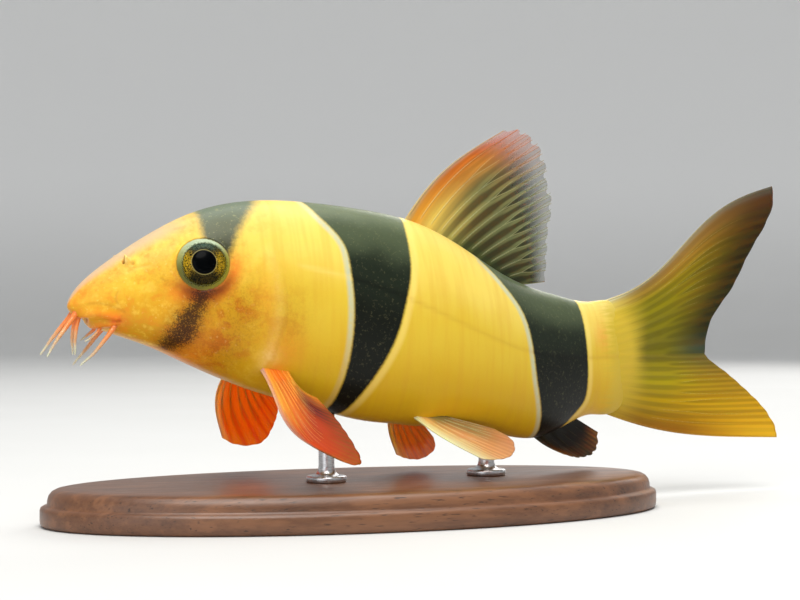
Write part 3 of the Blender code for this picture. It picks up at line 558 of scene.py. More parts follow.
# The pale line before a band: its strength low and high on the first one, and on the last.
FRONT_LINE_STRENGTHS = ((0.22, 0.84), (0.7, 0.85))
LAST_BAND_FROM = 50.0
FRONT_LINE_BACK_LOSS = 0.45
LEAST_DEPTH = 0.1


def faded(name, field):
    """How far a field is past the fade of this name."""
    return smooth(*FADES[name], field)


def weighted(strengths, fields):
    """Fields added up by their strengths."""
    return sum(strength * fields[name] for name, strength in strengths.items())


body_rise = (up - belly) / np.maximum(back - belly, LEAST_DEPTH)
first_line, last_line = [
    low + (high - low) * faded("above_belly", body_rise) for low, high in FRONT_LINE_STRENGTHS
]
line_strength = np.where(along < LAST_BAND_FROM, first_line, last_line)
fields = {
    **mouth,
    "halo": eye_shades["halo"],
    "socket": eye_shades["socket"],
    "nostril": nostril_shade,
    "nostril_flap": nostril_flap,
    "gill_rim": gill_rim,
    "face_folds": face_folds,
    "snout": (1 - faded("snout", along)) * faded("snout_up", body_rise),
    "tail_bloom": swell(along - TAIL_BLOOM_AT, TAIL_BLOOM_WIDTH) * faded("tail_bloom_up", up),
}
orange_flush = mounds(*ORANGE_FLUSHES) + weighted(FLUSH_STRENGTHS, fields)
pale_bloom = mounds(*PALE_BLOOMS) + weighted(BLOOM_STRENGTHS, fields)
skin_marks = {
    "band": band,
    "front_line": front_line,
    "rear_line": rear_line,
    "line_strength": line_strength * (1 - FRONT_LINE_BACK_LOSS * faded("near_back", body_rise)),
    "patch": patch,
    "rise": body_rise,
    "from_snout": along,
    "orange_flush": np.clip(orange_flush, 0, 1),
    "cheek_mottle": np.clip(mounds(*CHEEK_MOTTLES), 0, 1),
    "under_eye_glow": eye_shades["glow_below"],
    "pale_bloom": np.clip(pale_bloom, 0, 1),
    # A painted highlight along the top of the snout.
    "snout_rim_highlight": (1 - faded("snout_rim_highlight", along)) * faded("snout_rim_highlight_up", body_rise),
    "tail_root": faded("tail_root", along),
    "crease_shade": np.clip(weighted(CREASE_SHADE_STRENGTHS, fields), 0, 1),
    "lateral_line": lateral_line,
}
POLE_MARKS = {
    "band": -FAR_AWAY, "front_line": FAR_AWAY, "rear_line": FAR_AWAY, "patch": -FAR_AWAY,
    "rise": 0.5,
}
skin_marks = {
    name: np.concatenate([values.ravel(), [POLE_MARKS.get(name, values[0, 0])] * 2])
    for name, values in skin_marks.items()
}
pole_heights = np.array([SECTIONS[0, 1], TAIL_END[-1, 1]])
skin_poles = placed(np.array([0.0, TAIL_TIP]), 0.0, pole_heights)
skin_points = np.concatenate([skin.reshape(-1, 3), skin_poles])


def paint(red, green, blue):
    """A screen colour, 0 to 255, as the shader's own linear values."""
    shares = [c / 255 for c in (red, green, blue)]
    return (*[s / 12.92 if s < 0.04 else ((s + 0.055) / 1.055) ** 2.4 for s in shares], 1.0)


def connect(tree, node, inputs):
    """Sets a node's inputs by name or number, or links them to other nodes."""
    for socket, value in inputs.items():
        if isinstance(value, bpy.types.NodeSocket):
            tree.links.new(value, node.inputs[socket])
        else:
            node.inputs[socket].default_value = value


def put(tree, kind, inputs=None, **settings):
    """A node with its settings, and its inputs set or linked."""
    node = tree.nodes.new(kind)
    for setting, value in settings.items():
        setattr(node, setting, value)
    connect(tree, node, inputs or {})
    return node


class Palette:
    """Short words for the nodes that mix values and colours in one finish or effect."""

    def __init__(self, tree):
        self.tree = tree

    def node(self, kind, inputs=None, output=0, **settings):
        return put(self.tree, kind, inputs, **settings).outputs[output]

    def mark(self, name):
        """A value that is kept with the mesh."""
        return self.node("ShaderNodeAttribute", output="Fac", attribute_name=name)

    def place(self):
        return self.node("ShaderNodeTexCoord", output="Object")

    def sums(self, operation, *values):
        return self.node("ShaderNodeMath", dict(enumerate(values)), operation=operation)

    def times(self, *values):
        return self.sums("MULTIPLY", *values)

    def plus(self, *values):
        return self.sums("ADD", *values)

    def minus(self, *values):
        return self.sums("SUBTRACT", *values)

    def scaled(self, value, factor, offset):
        return self.sums("MULTIPLY_ADD", value, factor, offset)

    def swung(self, value, depth):
        """A value from 0 to 1 as a swing to both sides of nought, as deep as is said in all."""
        return self.scaled(value, depth, -depth / 2)

    def spread_out(self, *values):
        """Two or three values as a place to draw a pattern by."""
        return self.node("ShaderNodeCombineXYZ", dict(enumerate(values)))

    def stretched(self, place, way):
        return self.node("ShaderNodeMapping", {"Vector": place, "Scale": way})

    def turn(self, value, low, high, start=0.0, end=1.0):
        """The value's way from low to high, as a soft turn from start to end."""
        ends = {"From Min": low, "From Max": high, "To Min": start, "To Max": end}
        kind = "ShaderNodeMapRange"
        return self.node(kind, {"Value": value, **ends}, interpolation_type="SMOOTHSTEP")

    def blend(self, share, first, second):
        """Two colours mixed. A screen colour is painted first."""
        first, second = [paint(*c) if isinstance(c, tuple) else c for c in (first, second)]
        return self.node("ShaderNodeMix", {0: share, 6: first, 7: second}, 2, data_type="RGBA")

    def lay(self, colour, share, tone, strength=1.0):
        """A tone laid over a colour where the share says, as strongly as is asked."""
        if strength != 1.0:
            share = self.times(share, strength)
        return self.blend(share, colour, tone)

    def ramp(self, value, stops):
        """Screen colours along a value. Each stop is a place and its red, green and blue."""
        made = put(self.tree, "ShaderNodeValToRGB", {0: value})
        elements = made.color_ramp.elements
        made.color_ramp.interpolation = "EASE"
        while len(elements) < len(stops):
            elements.new(1.0)
        for element, (place, *colour) in zip(elements, stops):
            element.position = place
            element.color = paint(*colour)
        return made.outputs[0]

    def effect(self, group, output, inputs):
        """A shared effect with its own values here."""
        return self.node("ShaderNodeGroup", inputs, output, node_tree=group)

    def pattern(self, place, scale, detail=2.0, roughness=0.5):
        """Unevenness in a pattern's own measure."""
        inputs = {"Place": place, "Scale": scale, "Detail": detail, "Roughness": roughness}
        return self.effect(GRAIN, "Value", inputs)

    def grain(self, place, size, detail=2.0, roughness=0.5):
        """Unevenness with features of a size in millimetres."""
        return self.pattern(place, 1 / (size * MM), detail, roughness)

    def dots(self, place, size, cover):
        """Pigment dots of a size in millimetres."""
        inputs = {"Place": place, "Scale": 1 / (size * MM), "Cover": cover}
        return self.effect(PIGMENT_DOTS, "Dots", inputs)

    def bump(self, height, strength, depth):
        """Relief that is as deep as is said, in millimetres."""
        inputs = {"Height": height, "Strength": strength, "Distance": depth * MM}
        return self.node("ShaderNodeBump", inputs)


class Finish(Palette):
    """A new material: its colours are mixed with the palette, and then laid on its surface."""

    def __init__(self, name, turns=None):
        self.material = bpy.data.materials.new(name)
        self.material.use_nodes = True
        self.turns = turns or {}
        super().__init__(self.material.node_tree)

    def turned(self, name, value):
        """The value through the finish's own soft turn of this name."""
        return self.turn(value, *self.turns[name])

    def surface(self, inputs, constants):
        """Connects what changes over the surface, sets what doesn't, and gives the material."""
        connect(self.tree, self.tree.nodes["Principled BSDF"], {**inputs, **constants})
        return self.material


def effect_group(name, inputs, outputs):
    """An empty group for an effect that several finishes share: its palette and two ends."""
    group = bpy.data.node_groups.new(name, "ShaderNodeTree")
    for way, sockets in (("INPUT", inputs), ("OUTPUT", outputs)):
        for socket in sockets:
            kind = "NodeSocketVector" if socket == "Place" else "NodeSocketFloat"
            group.interface.new_socket(socket, in_out=way, socket_type=kind)
    given = put(group, "NodeGroupInput").outputs
    return Palette(group), given, put(group, "NodeGroupOutput")


def grain_group():
    """Cloudy unevenness: a value from a place and how fine, rich and rough it is."""
    names = ("Place", "Scale", "Detail", "Roughness")
    mix, given, result = effect_group("natural grain", names, ("Value",))
    inputs = {"Vector": given["Place"], **{name: given[name] for name in names[1:]}}
    connect(mix.tree, result, {"Value": mix.node("ShaderNodeTexNoise", inputs, "Fac")})
    return mix.tree


CELL_RICHNESS = {"Detail": 3.0, "Roughness": 0.7}
LEAST_COVER_LIMIT = 0.78
COVER_EFFECT = -0.5
DOT_EDGE = (-0.04, 0.06)


def pigment_dots_group():
    """Fine dots of dark pigment cells: a mask from a place, how fine, and how much they cover."""
    mix, given, result = effect_group("pigment dots", ("Place", "Scale", "Cover"), ("Dots",))
    inputs = {"Vector": given["Place"], "Scale": given["Scale"], **CELL_RICHNESS}
    cells = mix.node("ShaderNodeTexNoise", inputs, "Fac")
    limit = mix.scaled(given["Cover"], COVER_EFFECT, LEAST_COVER_LIMIT)
    connect(mix.tree, result, {"Dots": mix.turn(mix.minus(cells, limit), *DOT_EDGE)})
    return mix.tree


GRAIN = grain_group()
PIGMENT_DOTS = pigment_dots_group()
# Unevenness of the skin: size in millimetres, detail and roughness.
SKIN_GRAINS = {
    "broad": (7.0, 3.0, 0.5),
    "patchy": (1.5, 4.0, 0.62),
    "fine": (0.5, 3.0, 0.6),
    "clouds": (2.2, 4.0, 0.6),
    "spots": (0.55, 2.0, 0.5),
    "folds": (2.0, 4.0, 0.6),
    "ripples": (0.9, 3.0, 0.5),
}
MUSCLE_LINES = (0.9, 2.0)
MUSCLE_HEIGHT = 2.2
TAIL_LINES = (1.0, 3.0)
TAIL_LINES_ALONG = 0.2
TAIL_LINES_UP = 40.0
# Soft turns: from and to, and the strengths at each.
SKIN_TURNS = {
    "head": (12.0, 32.0, 1.0, 0.0),
    "muscles": (0.4, 0.7, 0.0, 0.22),
    "face_glow": (0.5, 0.68),
    "face_shade": (0.5, 0.34),
    "flush": (0.2, 0.7, 0.6, 1.0),
    "clouds": (0.47, 0.62, 0.0, 0.7),
    "spots": (0.62, 0.74, 0.0, 0.22),
    "bloom": (0.3, 0.7, 0.5, 1.0),
    "tail_reach": (0.35, 0.65, -0.16, 0.16),
    "tail_root": (0.1, 0.9),
    "front_line": (0.05, 0.7, 1.0, 0.0),
    "front_line_grain": (0.25, 0.6, 0.75, 1.0),
    "rear_line": (0.1, 0.85, 0.42, 0.0),
    "lateral_line": (34.0, 48.0),
    "patch": (-1.0, 2.6),
    "band": (-0.24, 0.28),
    "back_bands": (24.0, 29.0),
    "freckles": (24.0, 29.0, 0.34, 0.08),
    "roughness": (0.2, 0.8, 0.3, 0.42),
    "folds": (0.0, 1.0, 1.0, 5.0),
}
# Pigment dots: size in millimetres and cover.
CHEEK_DOTS = (0.3, 0.5)
BAND_DOTS = (0.45, 0.35)
PATCH_DOTS = (0.2, 0.78)
PATCH_RAGGEDNESS = 1.6
BAND_RAGGEDNESS = 0.26
LEVEL_RAGGEDNESS = 0.16
LATERAL_LINE_STRENGTH = 0.3
FLANK_TONES = (
    (0.0, 226, 176, 26), (0.2, 216, 173, 30), (0.5, 224, 190, 58), (0.8, 237, 209, 96),
    (1.0, 237, 210, 112),
)
FACE_TONES = ((0.0, 204, 146, 24), (0.3, 226, 166, 34), (0.65, 238, 192, 58), (1.0, 230, 190, 92))
TAIL_TONES = ((0.0, 208, 172, 40), (0.4, 212, 180, 54), (0.8, 212, 182, 56), (1.0, 214, 190, 92))
# The dark bands by height: near-black low down and grey-green up the back, a painted sheen of the
# light from above, on the head's band and on the body's.
BACK_BAND_SHEEN_TONES = (
    (0.0, 12, 13, 7), (0.45, 14, 18, 10), (0.7, 28, 36, 24), (0.88, 74, 84, 60),
    (1.0, 104, 114, 86),
)
HEAD_BAND_SHEEN_TONES = ((0.72, 58, 60, 40), (0.84, 90, 94, 70), (1.0, 106, 116, 96))
LATERAL_LINE_TONES = ((250, 222, 130), (196, 146, 44))
BAND_FRECKLE_TONE = (176, 172, 118)
BAND_LINE_TONE = (8, 10, 6)
BAND_LINE_STRENGTH = 2.0
# The layers of colour in the order that they are laid: tone and strength. Those with no tone of
# their own here get a mixed one.
SKIN_LAYERS = {
    "muscles": ((212, 150, 40), 1.0),
    "face_glow": ((250, 212, 84), 0.5),
    "face_shade": ((232, 138, 34), 0.45),
    "cheek": ((186, 134, 12), 0.78),
    "flush": ((236, 122, 38), 1.0),
    "cheek_clouds": ((186, 88, 14), 1.0),
    "cheek_freckles": ((140, 84, 12), 0.3),
    "pale_spots": ((255, 230, 130), 1.0),
    "bloom": ((250, 224, 150), 1.0),
    # A painted highlight, pale grey, along the top of the snout.
    "snout_rim_highlight": ((198, 176, 150), 0.75),
    "tail_root": (None, 1.0),
    "front_line": ((188, 198, 176), 1.0),
    "rear_line": ((252, 228, 130), 1.0),
    "under_eye_glow": ((112, 42, 10), 0.8),
    "lateral_line": (None, 1.0),
    "patch": ((104, 46, 4), 0.7),
    "patch_stipple": ((34, 20, 10), 0.84),
    # The bands, with their painted sheen towards the back.
    "bands": (None, 1.0),
    # Painted shade, reddish brown, in the creases and pits of the face.
    "crease_shade": ((132, 50, 22), 0.8),
}
SKIN_SCALES = {"Scale": 1 / (0.42 * MM), "Randomness": 0.8}
SKIN_RELIEF = (0.28, 0.06)
SKIN_CONSTANTS = {
    "Subsurface Weight": 0.12, "Subsurface Radius": (1.0, 0.55, 0.2),
    "Subsurface Scale": 1.2 * MM, "Specular IOR Level": 0.14, "Coat Weight": 0.05,
    "Coat Roughness": 0.25,
}


def skin_finish():
    """Yellow hide with dark bands. The marks say where, and grain and dots break the edges. The
    bands get a painted sheen towards the back, the top of the snout a painted highlight, and
    creases and pits painted shade.
    """
    mix = Finish("wet banded skin", SKIN_TURNS)
    place = mix.place()
    grains = {name: mix.grain(place, *sizes) for name, sizes in SKIN_GRAINS.items()}
    marks = {name: mix.mark(name) for name in skin_marks}
    rise, from_snout, cheek = marks["rise"], marks["from_snout"], marks["cheek_mottle"]
    fine = grains["fine"]

    def ragged(value, grain, depth):
        return mix.plus(value, mix.swung(grain, depth))

    head_share = mix.turned("head", from_snout)
    muscle_place = mix.spread_out(from_snout, mix.times(rise, MUSCLE_HEIGHT))
    tail_place = mix.spread_out(
        mix.times(from_snout, TAIL_LINES_ALONG), mix.times(rise, TAIL_LINES_UP)
    )
    tail_reach = mix.turned("tail_reach", mix.pattern(tail_place, *TAIL_LINES))
    front_share = mix.times(mix.turned("front_line", marks["front_line"]), marks["line_strength"])
    patch_share = mix.turned("patch", mix.scaled(fine, PATCH_RAGGEDNESS, marks["patch"]))
    dot_size, dot_cover = PATCH_DOTS
    patch_dots = mix.dots(place, dot_size, mix.times(patch_share, dot_cover))
    line_share = mix.times(marks["lateral_line"], LATERAL_LINE_STRENGTH)
    masks = {
        "muscles": mix.turned("muscles", mix.pattern(muscle_place, *MUSCLE_LINES)),
        "face_glow": mix.times(mix.turned("face_glow", grains["patchy"]), head_share),
        "face_shade": mix.times(mix.turned("face_shade", grains["patchy"]), head_share),
        "cheek": cheek,
        "flush": mix.times(marks["orange_flush"], mix.turned("flush", fine)),
        "cheek_clouds": mix.times(cheek, mix.turned("clouds", grains["clouds"])),
        "cheek_freckles": mix.times(cheek, mix.dots(place, *CHEEK_DOTS)),
        "pale_spots": mix.times(mix.turned("spots", grains["spots"]), head_share),
        "bloom": mix.times(marks["pale_bloom"], mix.turned("bloom", fine)),
        "snout_rim_highlight": marks["snout_rim_highlight"],
        "tail_root": mix.turned("tail_root", mix.plus(marks["tail_root"], tail_reach)),
        "front_line": mix.times(front_share, mix.turned("front_line_grain", fine)),
        "rear_line": mix.turned("rear_line", marks["rear_line"]),
        "under_eye_glow": marks["under_eye_glow"],
        "lateral_line": line_share,
        "patch": patch_share,
        "patch_stipple": mix.times(patch_share, patch_dots),
        "bands": mix.turned("band", ragged(marks["band"], fine, BAND_RAGGEDNESS)),
        "crease_shade": marks["crease_shade"],
    }
    level = ragged(rise, grains["broad"], LEVEL_RAGGEDNESS)
    head_band_with_sheen, back_band_with_sheen = mix.ramp(level, HEAD_BAND_SHEEN_TONES), mix.ramp(level, BACK_BAND_SHEEN_TONES)
    band_colour = mix.blend(mix.turned("back_bands", from_snout), head_band_with_sheen, back_band_with_sheen)
    freckles = mix.times(mix.dots(place, *BAND_DOTS), mix.turned("freckles", from_snout))
    band_colour = mix.lay(band_colour, freckles, BAND_FRECKLE_TONE)
    mixed = {
        "tail_root": mix.ramp(rise, TAIL_TONES),
        "lateral_line": mix.blend(mix.turned("lateral_line", from_snout), *LATERAL_LINE_TONES),
        "bands": mix.lay(band_colour, line_share, BAND_LINE_TONE, BAND_LINE_STRENGTH),
    }
    colour = mix.blend(head_share, mix.ramp(level, FLANK_TONES), mix.ramp(level, FACE_TONES))
    for name, (tone, strength) in SKIN_LAYERS.items():
        colour = mix.lay(colour, masks[name], mixed.get(name, tone), strength)
    cells = {"Vector": place, **SKIN_SCALES}
    scales = mix.node("ShaderNodeTexVoronoi", cells, "Distance", feature="SMOOTH_F1")
    folds = mix.times(grains["folds"], mix.turned("folds", head_share))
    relief = mix.plus(scales, mix.plus(grains["ripples"], folds))
    return mix.surface({
        "Base Color": colour,
        "Roughness": mix.turned("roughness", fine),
        "Normal": mix.bump(relief, *SKIN_RELIEF),
    }, SKIN_CONSTANTS)


skin_mesh = mesh_of("skin", skin_points, closed_faces(RINGS, SKIN_SIDES), skin_marks)
skin_piece = add_piece("skin", skin_mesh, skin_finish())
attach(skin_piece, "root")
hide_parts("head", "gill_cover_left", "gill_cover_right", "trunk", "tail")

# The eyes: each a hard glossy ball with a raised lens in a ring of pale gold, in a speckled iris.
# A clear greenish margin of skin closes the joint between the ball and the socket's rim.
EYE_SIDES = 96
BALL_FRONT_RINGS = 46
BALL_REAR_RINGS = 16
BALL_POLE = 0.02
BALL_SUNK = 0.06
LENS_RADIUS = 1.62
LENS_EDGE = 0.35
LENS_RISE = 0.05
GROOVE_BEYOND = 0.1
GROOVE_WIDTH = 0.12
GROOVE_DEPTH = 0.03
MARGIN_INNER = 2.66
MARGIN_OUTER = 3.56
MARGIN_STEPS = 9
MARGIN_SUNK = 0.06
MARGIN_OVER_BALL = 0.03
MARGIN_CROWN = 0.12
MARGIN_KEEL = 0.3


def about_eye(side, radius, height, angle):
    """Places by distance from the eye's axis, height along it and angle round it."""
    centre, outward, upright, rearward = eye_frame(side)
    shares = (radius * np.cos(angle), radius * np.sin(angle), height)
    return centre + sum(s[..., None] * way for s, way in zip(shares, (rearward, upright, outward)))


def ball_height(radius):
    """How far the ball's front stands out, with its lens and the groove round it."""
    dome = EYE_DEPTH * np.sqrt(np.maximum(1 - (radius / EYE_RADIUS) ** 2, 0))
    lens = LENS_RISE * (1 - smooth(LENS_RADIUS - LENS_EDGE, LENS_RADIUS, radius))
    groove = GROOVE_DEPTH * swell(radius - LENS_RADIUS - GROOVE_BEYOND, GROOVE_WIDTH)
    return dome - BALL_SUNK + lens - groove


def eyeball(side):
    """A closed ball, flattened along its axis, whose marks say where its iris is."""
    front = EYE_RADIUS * np.sin(np.linspace(BALL_POLE, 0.5, BALL_FRONT_RINGS) * math.pi)
    rear = EYE_RADIUS * np.sin(np.linspace(0.5, 1 - BALL_POLE, BALL_REAR_RINGS)[1:] * math.pi)
    radius = np.concatenate([front, rear])
    rear_height = -EYE_DEPTH * np.sqrt(1 - (rear / EYE_RADIUS) ** 2)
    height = np.concatenate([ball_height(front), rear_height])
    angle, rows = angles_round(EYE_SIDES), len(radius)
    points = about_eye(side, radius[:, None], height[:, None], angle)
    pole_heights = np.array([ball_height(np.array(0.0)), -EYE_DEPTH])
    poles = about_eye(side, np.zeros(2), pole_heights, np.zeros(2))
    iris_out = np.concatenate([front, np.full(len(rear), EYE_RADIUS)])
    marks = {
        "iris_out": np.concatenate([np.repeat(iris_out, EYE_SIDES), [0.0, EYE_RADIUS]]),
        "iris_up": np.concatenate([np.tile(np.sin(angle), rows), [0.0, 0.0]]),
    }
    points = np.concatenate([points.reshape(-1, 3), poles])
    return mesh_of("eyeball", points, closed_faces(rows, EYE_SIDES), marks)


def eye_margin(side):
    """A smooth ring from the socket's rim over the edge of the ball."""
    angle = angles_round(EYE_SIDES)[:, None]
    share = np.linspace(0, 1, MARGIN_STEPS)
    radius = MARGIN_OUTER + (MARGIN_INNER - MARGIN_OUTER) * share
    seat = seat_terms(angle) @ eye_seats[side] - MARGIN_SUNK
    inner = float(ball_height(np.array(MARGIN_INNER))) + MARGIN_OVER_BALL
    turn, crown = smooth(0, 1, share), np.sin(math.pi * share)
    top = seat * (1 - turn) + inner * turn + MARGIN_CROWN * crown
    low = top[:, ::-1] - MARGIN_KEEL * crown - MARGIN_OVER_BALL
    radii = np.concatenate([radius, radius[::-1]])
    points = about_eye(side, radii, np.concatenate([top, low], axis=1), angle)
    marks = {
        "inwards": np.tile(np.concatenate([share, share[::-1]]), EYE_SIDES),
        "iris_up": np.repeat(np.sin(angle), 2 * MARGIN_STEPS),
        "iris_rear": np.repeat(np.cos(angle), 2 * MARGIN_STEPS),
    }
    faces = grid_faces(EYE_SIDES, 2 * MARGIN_STEPS, wrap_rows=True)
    return mesh_of("eye_margin", points, faces, marks)


IRIS_TONES = (
    (0.0, 8, 12, 10), (0.2, 22, 28, 16), (0.4, 104, 92, 16), (0.64, 104, 96, 22),
    (0.82, 22, 42, 38), (1.0, 40, 74, 68),
)
INNER_IRIS_TONE = (16, 20, 14)
GOLD_TONE = (190, 150, 32)
GOLD_DOTS = (0.22, 0.66)
GOLD_STRENGTH = 0.8
DARK_DOT_TONE = (14, 18, 12)
DARK_DOTS = (0.17, 0.5)
PUPIL_RING_TONE = (150, 140, 86)
PUPIL_TONE = (2, 3, 4)
IRIS_TURNS = {
    "inner": (LENS_RADIUS + 0.1, 2.35, 0.8, 0.0),
    "gold": (0.35, 0.85, 1.0, 0.1),
    "ring": (0.02, 0.08, 0.7, 0.0),
    "pupil": (LENS_RADIUS - 0.04, LENS_RADIUS + 0.02, 1.0, 0.0),
}
PUPIL_RING_RADIUS = LENS_RADIUS + 0.06
BALL_GLOSS = {
    "Roughness": 0.25, "Specular IOR Level": 0.02, "Coat Weight": 0.03, "Coat Roughness": 0.02,
}


def eye_finish():
    """A black pupil with a thin gold edge in an iris that is teal above and gold at its sides."""
    mix = Finish("glossy fish eye", IRIS_TURNS)
    place = mix.place()
    reach, upright = mix.mark("iris_out"), mix.mark("iris_up")
    colour = mix.ramp(mix.scaled(upright, 0.5, 0.5), IRIS_TONES)
    colour = mix.lay(colour, mix.turned("inner", reach), INNER_IRIS_TONE)
    beside = mix.turned("gold", mix.sums("ABSOLUTE", upright))
    gold = mix.times(mix.dots(place, *GOLD_DOTS), beside)
    colour = mix.lay(colour, gold, GOLD_TONE, GOLD_STRENGTH)
    colour = mix.lay(colour, mix.dots(place, *DARK_DOTS), DARK_DOT_TONE)
    from_ring = mix.sums("ABSOLUTE", mix.minus(reach, PUPIL_RING_RADIUS))
    colour = mix.lay(colour, mix.turned("ring", from_ring), PUPIL_RING_TONE)
    colour = mix.lay(colour, mix.turned("pupil", reach), PUPIL_TONE)
    return mix.surface({"Base Color": colour}, BALL_GLOSS)


# The margin's own pale green by height, painted lighter above where the light falls.
MARGIN_TONES_LIT_ABOVE = ((0.0, 108, 100, 22), (0.3, 128, 122, 40), (0.6, 150, 150, 84), (1.0, 170, 186, 152))
MARGIN_BEHIND_TONE = (138, 128, 26)
# Painted shade on the margin, low ahead.
MARGIN_LOW_SHADE_TONE = (66, 72, 34)
MARGIN_FLECK_TONE = (70, 76, 34)
MARGIN_FLECKS = (0.22, 0.5)
MARGIN_FLECK_STRENGTH = 0.6
MARGIN_EDGE_TONE = (170, 130, 56)
MARGIN_TURNS = {
    "behind": (-0.4, 1.2, 0.0, 0.8),
    "low": (0.5, 1.4, 0.0, 0.6),
    "flecks": (0.2, 0.9),
    "edge": (0.0, 0.2, 0.6, 0.0),
    "lit_wider": (-0.3, 1.45, 0.0, 0.4),
    "alpha": (0.28, 0.86, 0.98, 0.0),
}
MARGIN_GRAIN = (0.24, 3.0, 0.7)
MARGIN_RAGGEDNESS = 0.8
MARGIN_GLOSS = {
    "Roughness": 0.34, "Specular IOR Level": 0.25, "Coat Weight": 0.08, "Coat Roughness": 0.12,
}


def margin_finish():
    """Pale greenish skin, painted lighter above and ahead where the light falls and darker low
    ahead as painted shade, and clear at its inner edge.
    """
    mix = Finish("clear eye margin", MARGIN_TURNS)
    place = mix.place()
    upright, rearward, inwards = mix.mark("iris_up"), mix.mark("iris_rear"), mix.mark("inwards")
    colour = mix.ramp(mix.scaled(upright, 0.5, 0.5), MARGIN_TONES_LIT_ABOVE)
    colour = mix.lay(colour, mix.turned("behind", mix.minus(rearward, upright)), MARGIN_BEHIND_TONE)
    shaded_low_ahead = mix.times(mix.plus(upright, rearward), -1.0)
    colour = mix.lay(colour, mix.turned("low", shaded_low_ahead), MARGIN_LOW_SHADE_TONE)
    flecks = mix.times(mix.dots(place, *MARGIN_FLECKS), mix.turned("flecks", inwards))
    colour = mix.lay(colour, flecks, MARGIN_FLECK_TONE, MARGIN_FLECK_STRENGTH)
    colour = mix.lay(colour, mix.turned("edge", inwards), MARGIN_EDGE_TONE)
    # The pale margin reaches further in above and ahead: painted light.
    lit_wider = mix.turned("lit_wider", mix.minus(upright, rearward))
    ragged = mix.swung(mix.grain(place, *MARGIN_GRAIN), MARGIN_RAGGEDNESS)
    alpha = mix.turned("alpha", mix.plus(mix.minus(inwards, lit_wider), ragged))
    return mix.surface({"Base Color": colour, "Alpha": alpha}, MARGIN_GLOSS)


ball_finish, ring_finish = eye_finish(), margin_finish()
for side, word in ((1, "left"), (-1, "right")):
    ball = add_piece("eyeball_" + word, eyeball(side), ball_finish)
    margin = add_piece("eye_margin_" + word, eye_margin(side), ring_finish)
    for piece in (ball, margin):
        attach(piece, "root")
        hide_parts("eye_" + word)

# The barbels: four pairs of soft feelers that grow from the snout, the lips and the mouth corners.
# Each is one tapering, slightly ringed tube of skin, drawn by nodes along its own path.
# Each row: thickness at the root as a radius, and the route of the left one.
BARBELS = {
    "rostral_outer": (
        0.44, ((1.3, 0.8, -1.1), (1.0, 0.9, -1.6), (-1.0, 1.7, -4.2), (-3.1, 2.3, -7.3))
    ),
    "rostral_inner": (
        0.4, ((1.5, 0.65, -1.5), (1.3, 0.7, -2.2), (0.9, 1.0, -4.6), (0.8, 0.95, -7.2))
    ),
    "maxillary": (
        0.44, ((6.9, 2.6, -1.7), (6.4, 2.6, -2.4), (3.9, 3.0, -5.6), (1.2, 2.1, -8.6))
    ),
    "mandibular": (
        0.32, ((4.4, 1.3, -2.9), (4.2, 1.4, -3.4), (3.2, 1.6, -4.6), (2.0, 1.5, -5.4))
    ),
}
BARBEL_POINTS = 64
BARBEL_SIDES = 20
BARBEL_TIP_SHARE = 0.26
BARBEL_FLARE = (0.35, 0.12)
BARBEL_TIP_ROUNDING = 0.03
BARBEL_TIP_LEAST = 0.04
BARBEL_RING_LENGTH = 0.09
BARBEL_RING_DEPTH = 0.035
BARBEL_WAVER = 0.55
SEED_OFFSET = 0.5
WAVER_NOISE = {"Scale": 350.0, "Detail": 1.0}
TUBE_INPUTS = {
    "Paths": "Geometry", "Tip share": "Float", "Ring length": "Float", "Ring depth": "Float",
    "Waver": "Float", "Seed": "Int", "Sides": "Int", "Finish": "Material",
}


def tube_tree():
    """Nodes that draw a tube along every path of a wire mesh, as thick as its girth mark says."""
    tree = bpy.data.node_groups.new("tubes along paths", "GeometryNodeTree")
    for name, kind in TUBE_INPUTS.items():
        tree.interface.new_socket(name, in_out="INPUT", socket_type="NodeSocket" + kind)
    tree.interface.new_socket("Tubes", in_out="OUTPUT", socket_type="NodeSocketGeometry")
    given, mix = put(tree, "NodeGroupInput").outputs, Palette(tree)
    girth, share = [
        mix.node("GeometryNodeInputNamedAttribute", {"Name": name}, data_type="FLOAT")
        for name in ("girth", "share")
    ]
    drift = {
        "Vector": mix.node("GeometryNodeInputPosition"), "W": mix.plus(given["Seed"], SEED_OFFSET),
        **WAVER_NOISE,
    }
    sway = mix.node("ShaderNodeTexNoise", drift, "Color", noise_dimensions="4D")
    middle_out = {0: sway, 1: (0.5, 0.5, 0.5)}
    centred = mix.node("ShaderNodeVectorMath", middle_out, operation="SUBTRACT")
    sized = {0: centred, "Scale": mix.times(given["Waver"], share)}
    offset = mix.node("ShaderNodeVectorMath", sized, operation="SCALE")
    curve = mix.node("GeometryNodeMeshToCurve", {"Mesh": given["Paths"]})
    moved = mix.node("GeometryNodeSetPosition", {"Geometry": curve, "Offset": offset})
    taper = mix.plus(mix.times(mix.minus(given["Tip share"], 1.0), share), 1.0)
    length = mix.node("GeometryNodeSplineParameter", output="Length")
    phase = mix.sums("DIVIDE", length, given["Ring length"])
    ripple = mix.times(mix.sums("SINE", phase), given["Ring depth"])
    thick = mix.times(girth, mix.plus(taper, ripple))
    circle = {"Resolution": given["Sides"], "Radius": 1.0}
    profile = mix.node("GeometryNodeCurvePrimitiveCircle", circle, mode="RADIUS")
    drawn = {"Curve": moved, "Profile Curve": profile, "Scale": thick, "Fill Caps": True}
    tube = mix.node("GeometryNodeCurveToMesh", drawn)
    soft = mix.node("GeometryNodeSetShadeSmooth", {"Geometry": tube})
    real = mix.node("GeometryNodeRealizeInstances", {"Geometry": soft})
    laid = {"Geometry": real, "Material": given["Finish"]}
    dressed = mix.node("GeometryNodeSetMaterial", laid)
    connect(tree, put(tree, "NodeGroupOutput"), {"Tubes": dressed})
    return tree


TUBES = tube_tree()


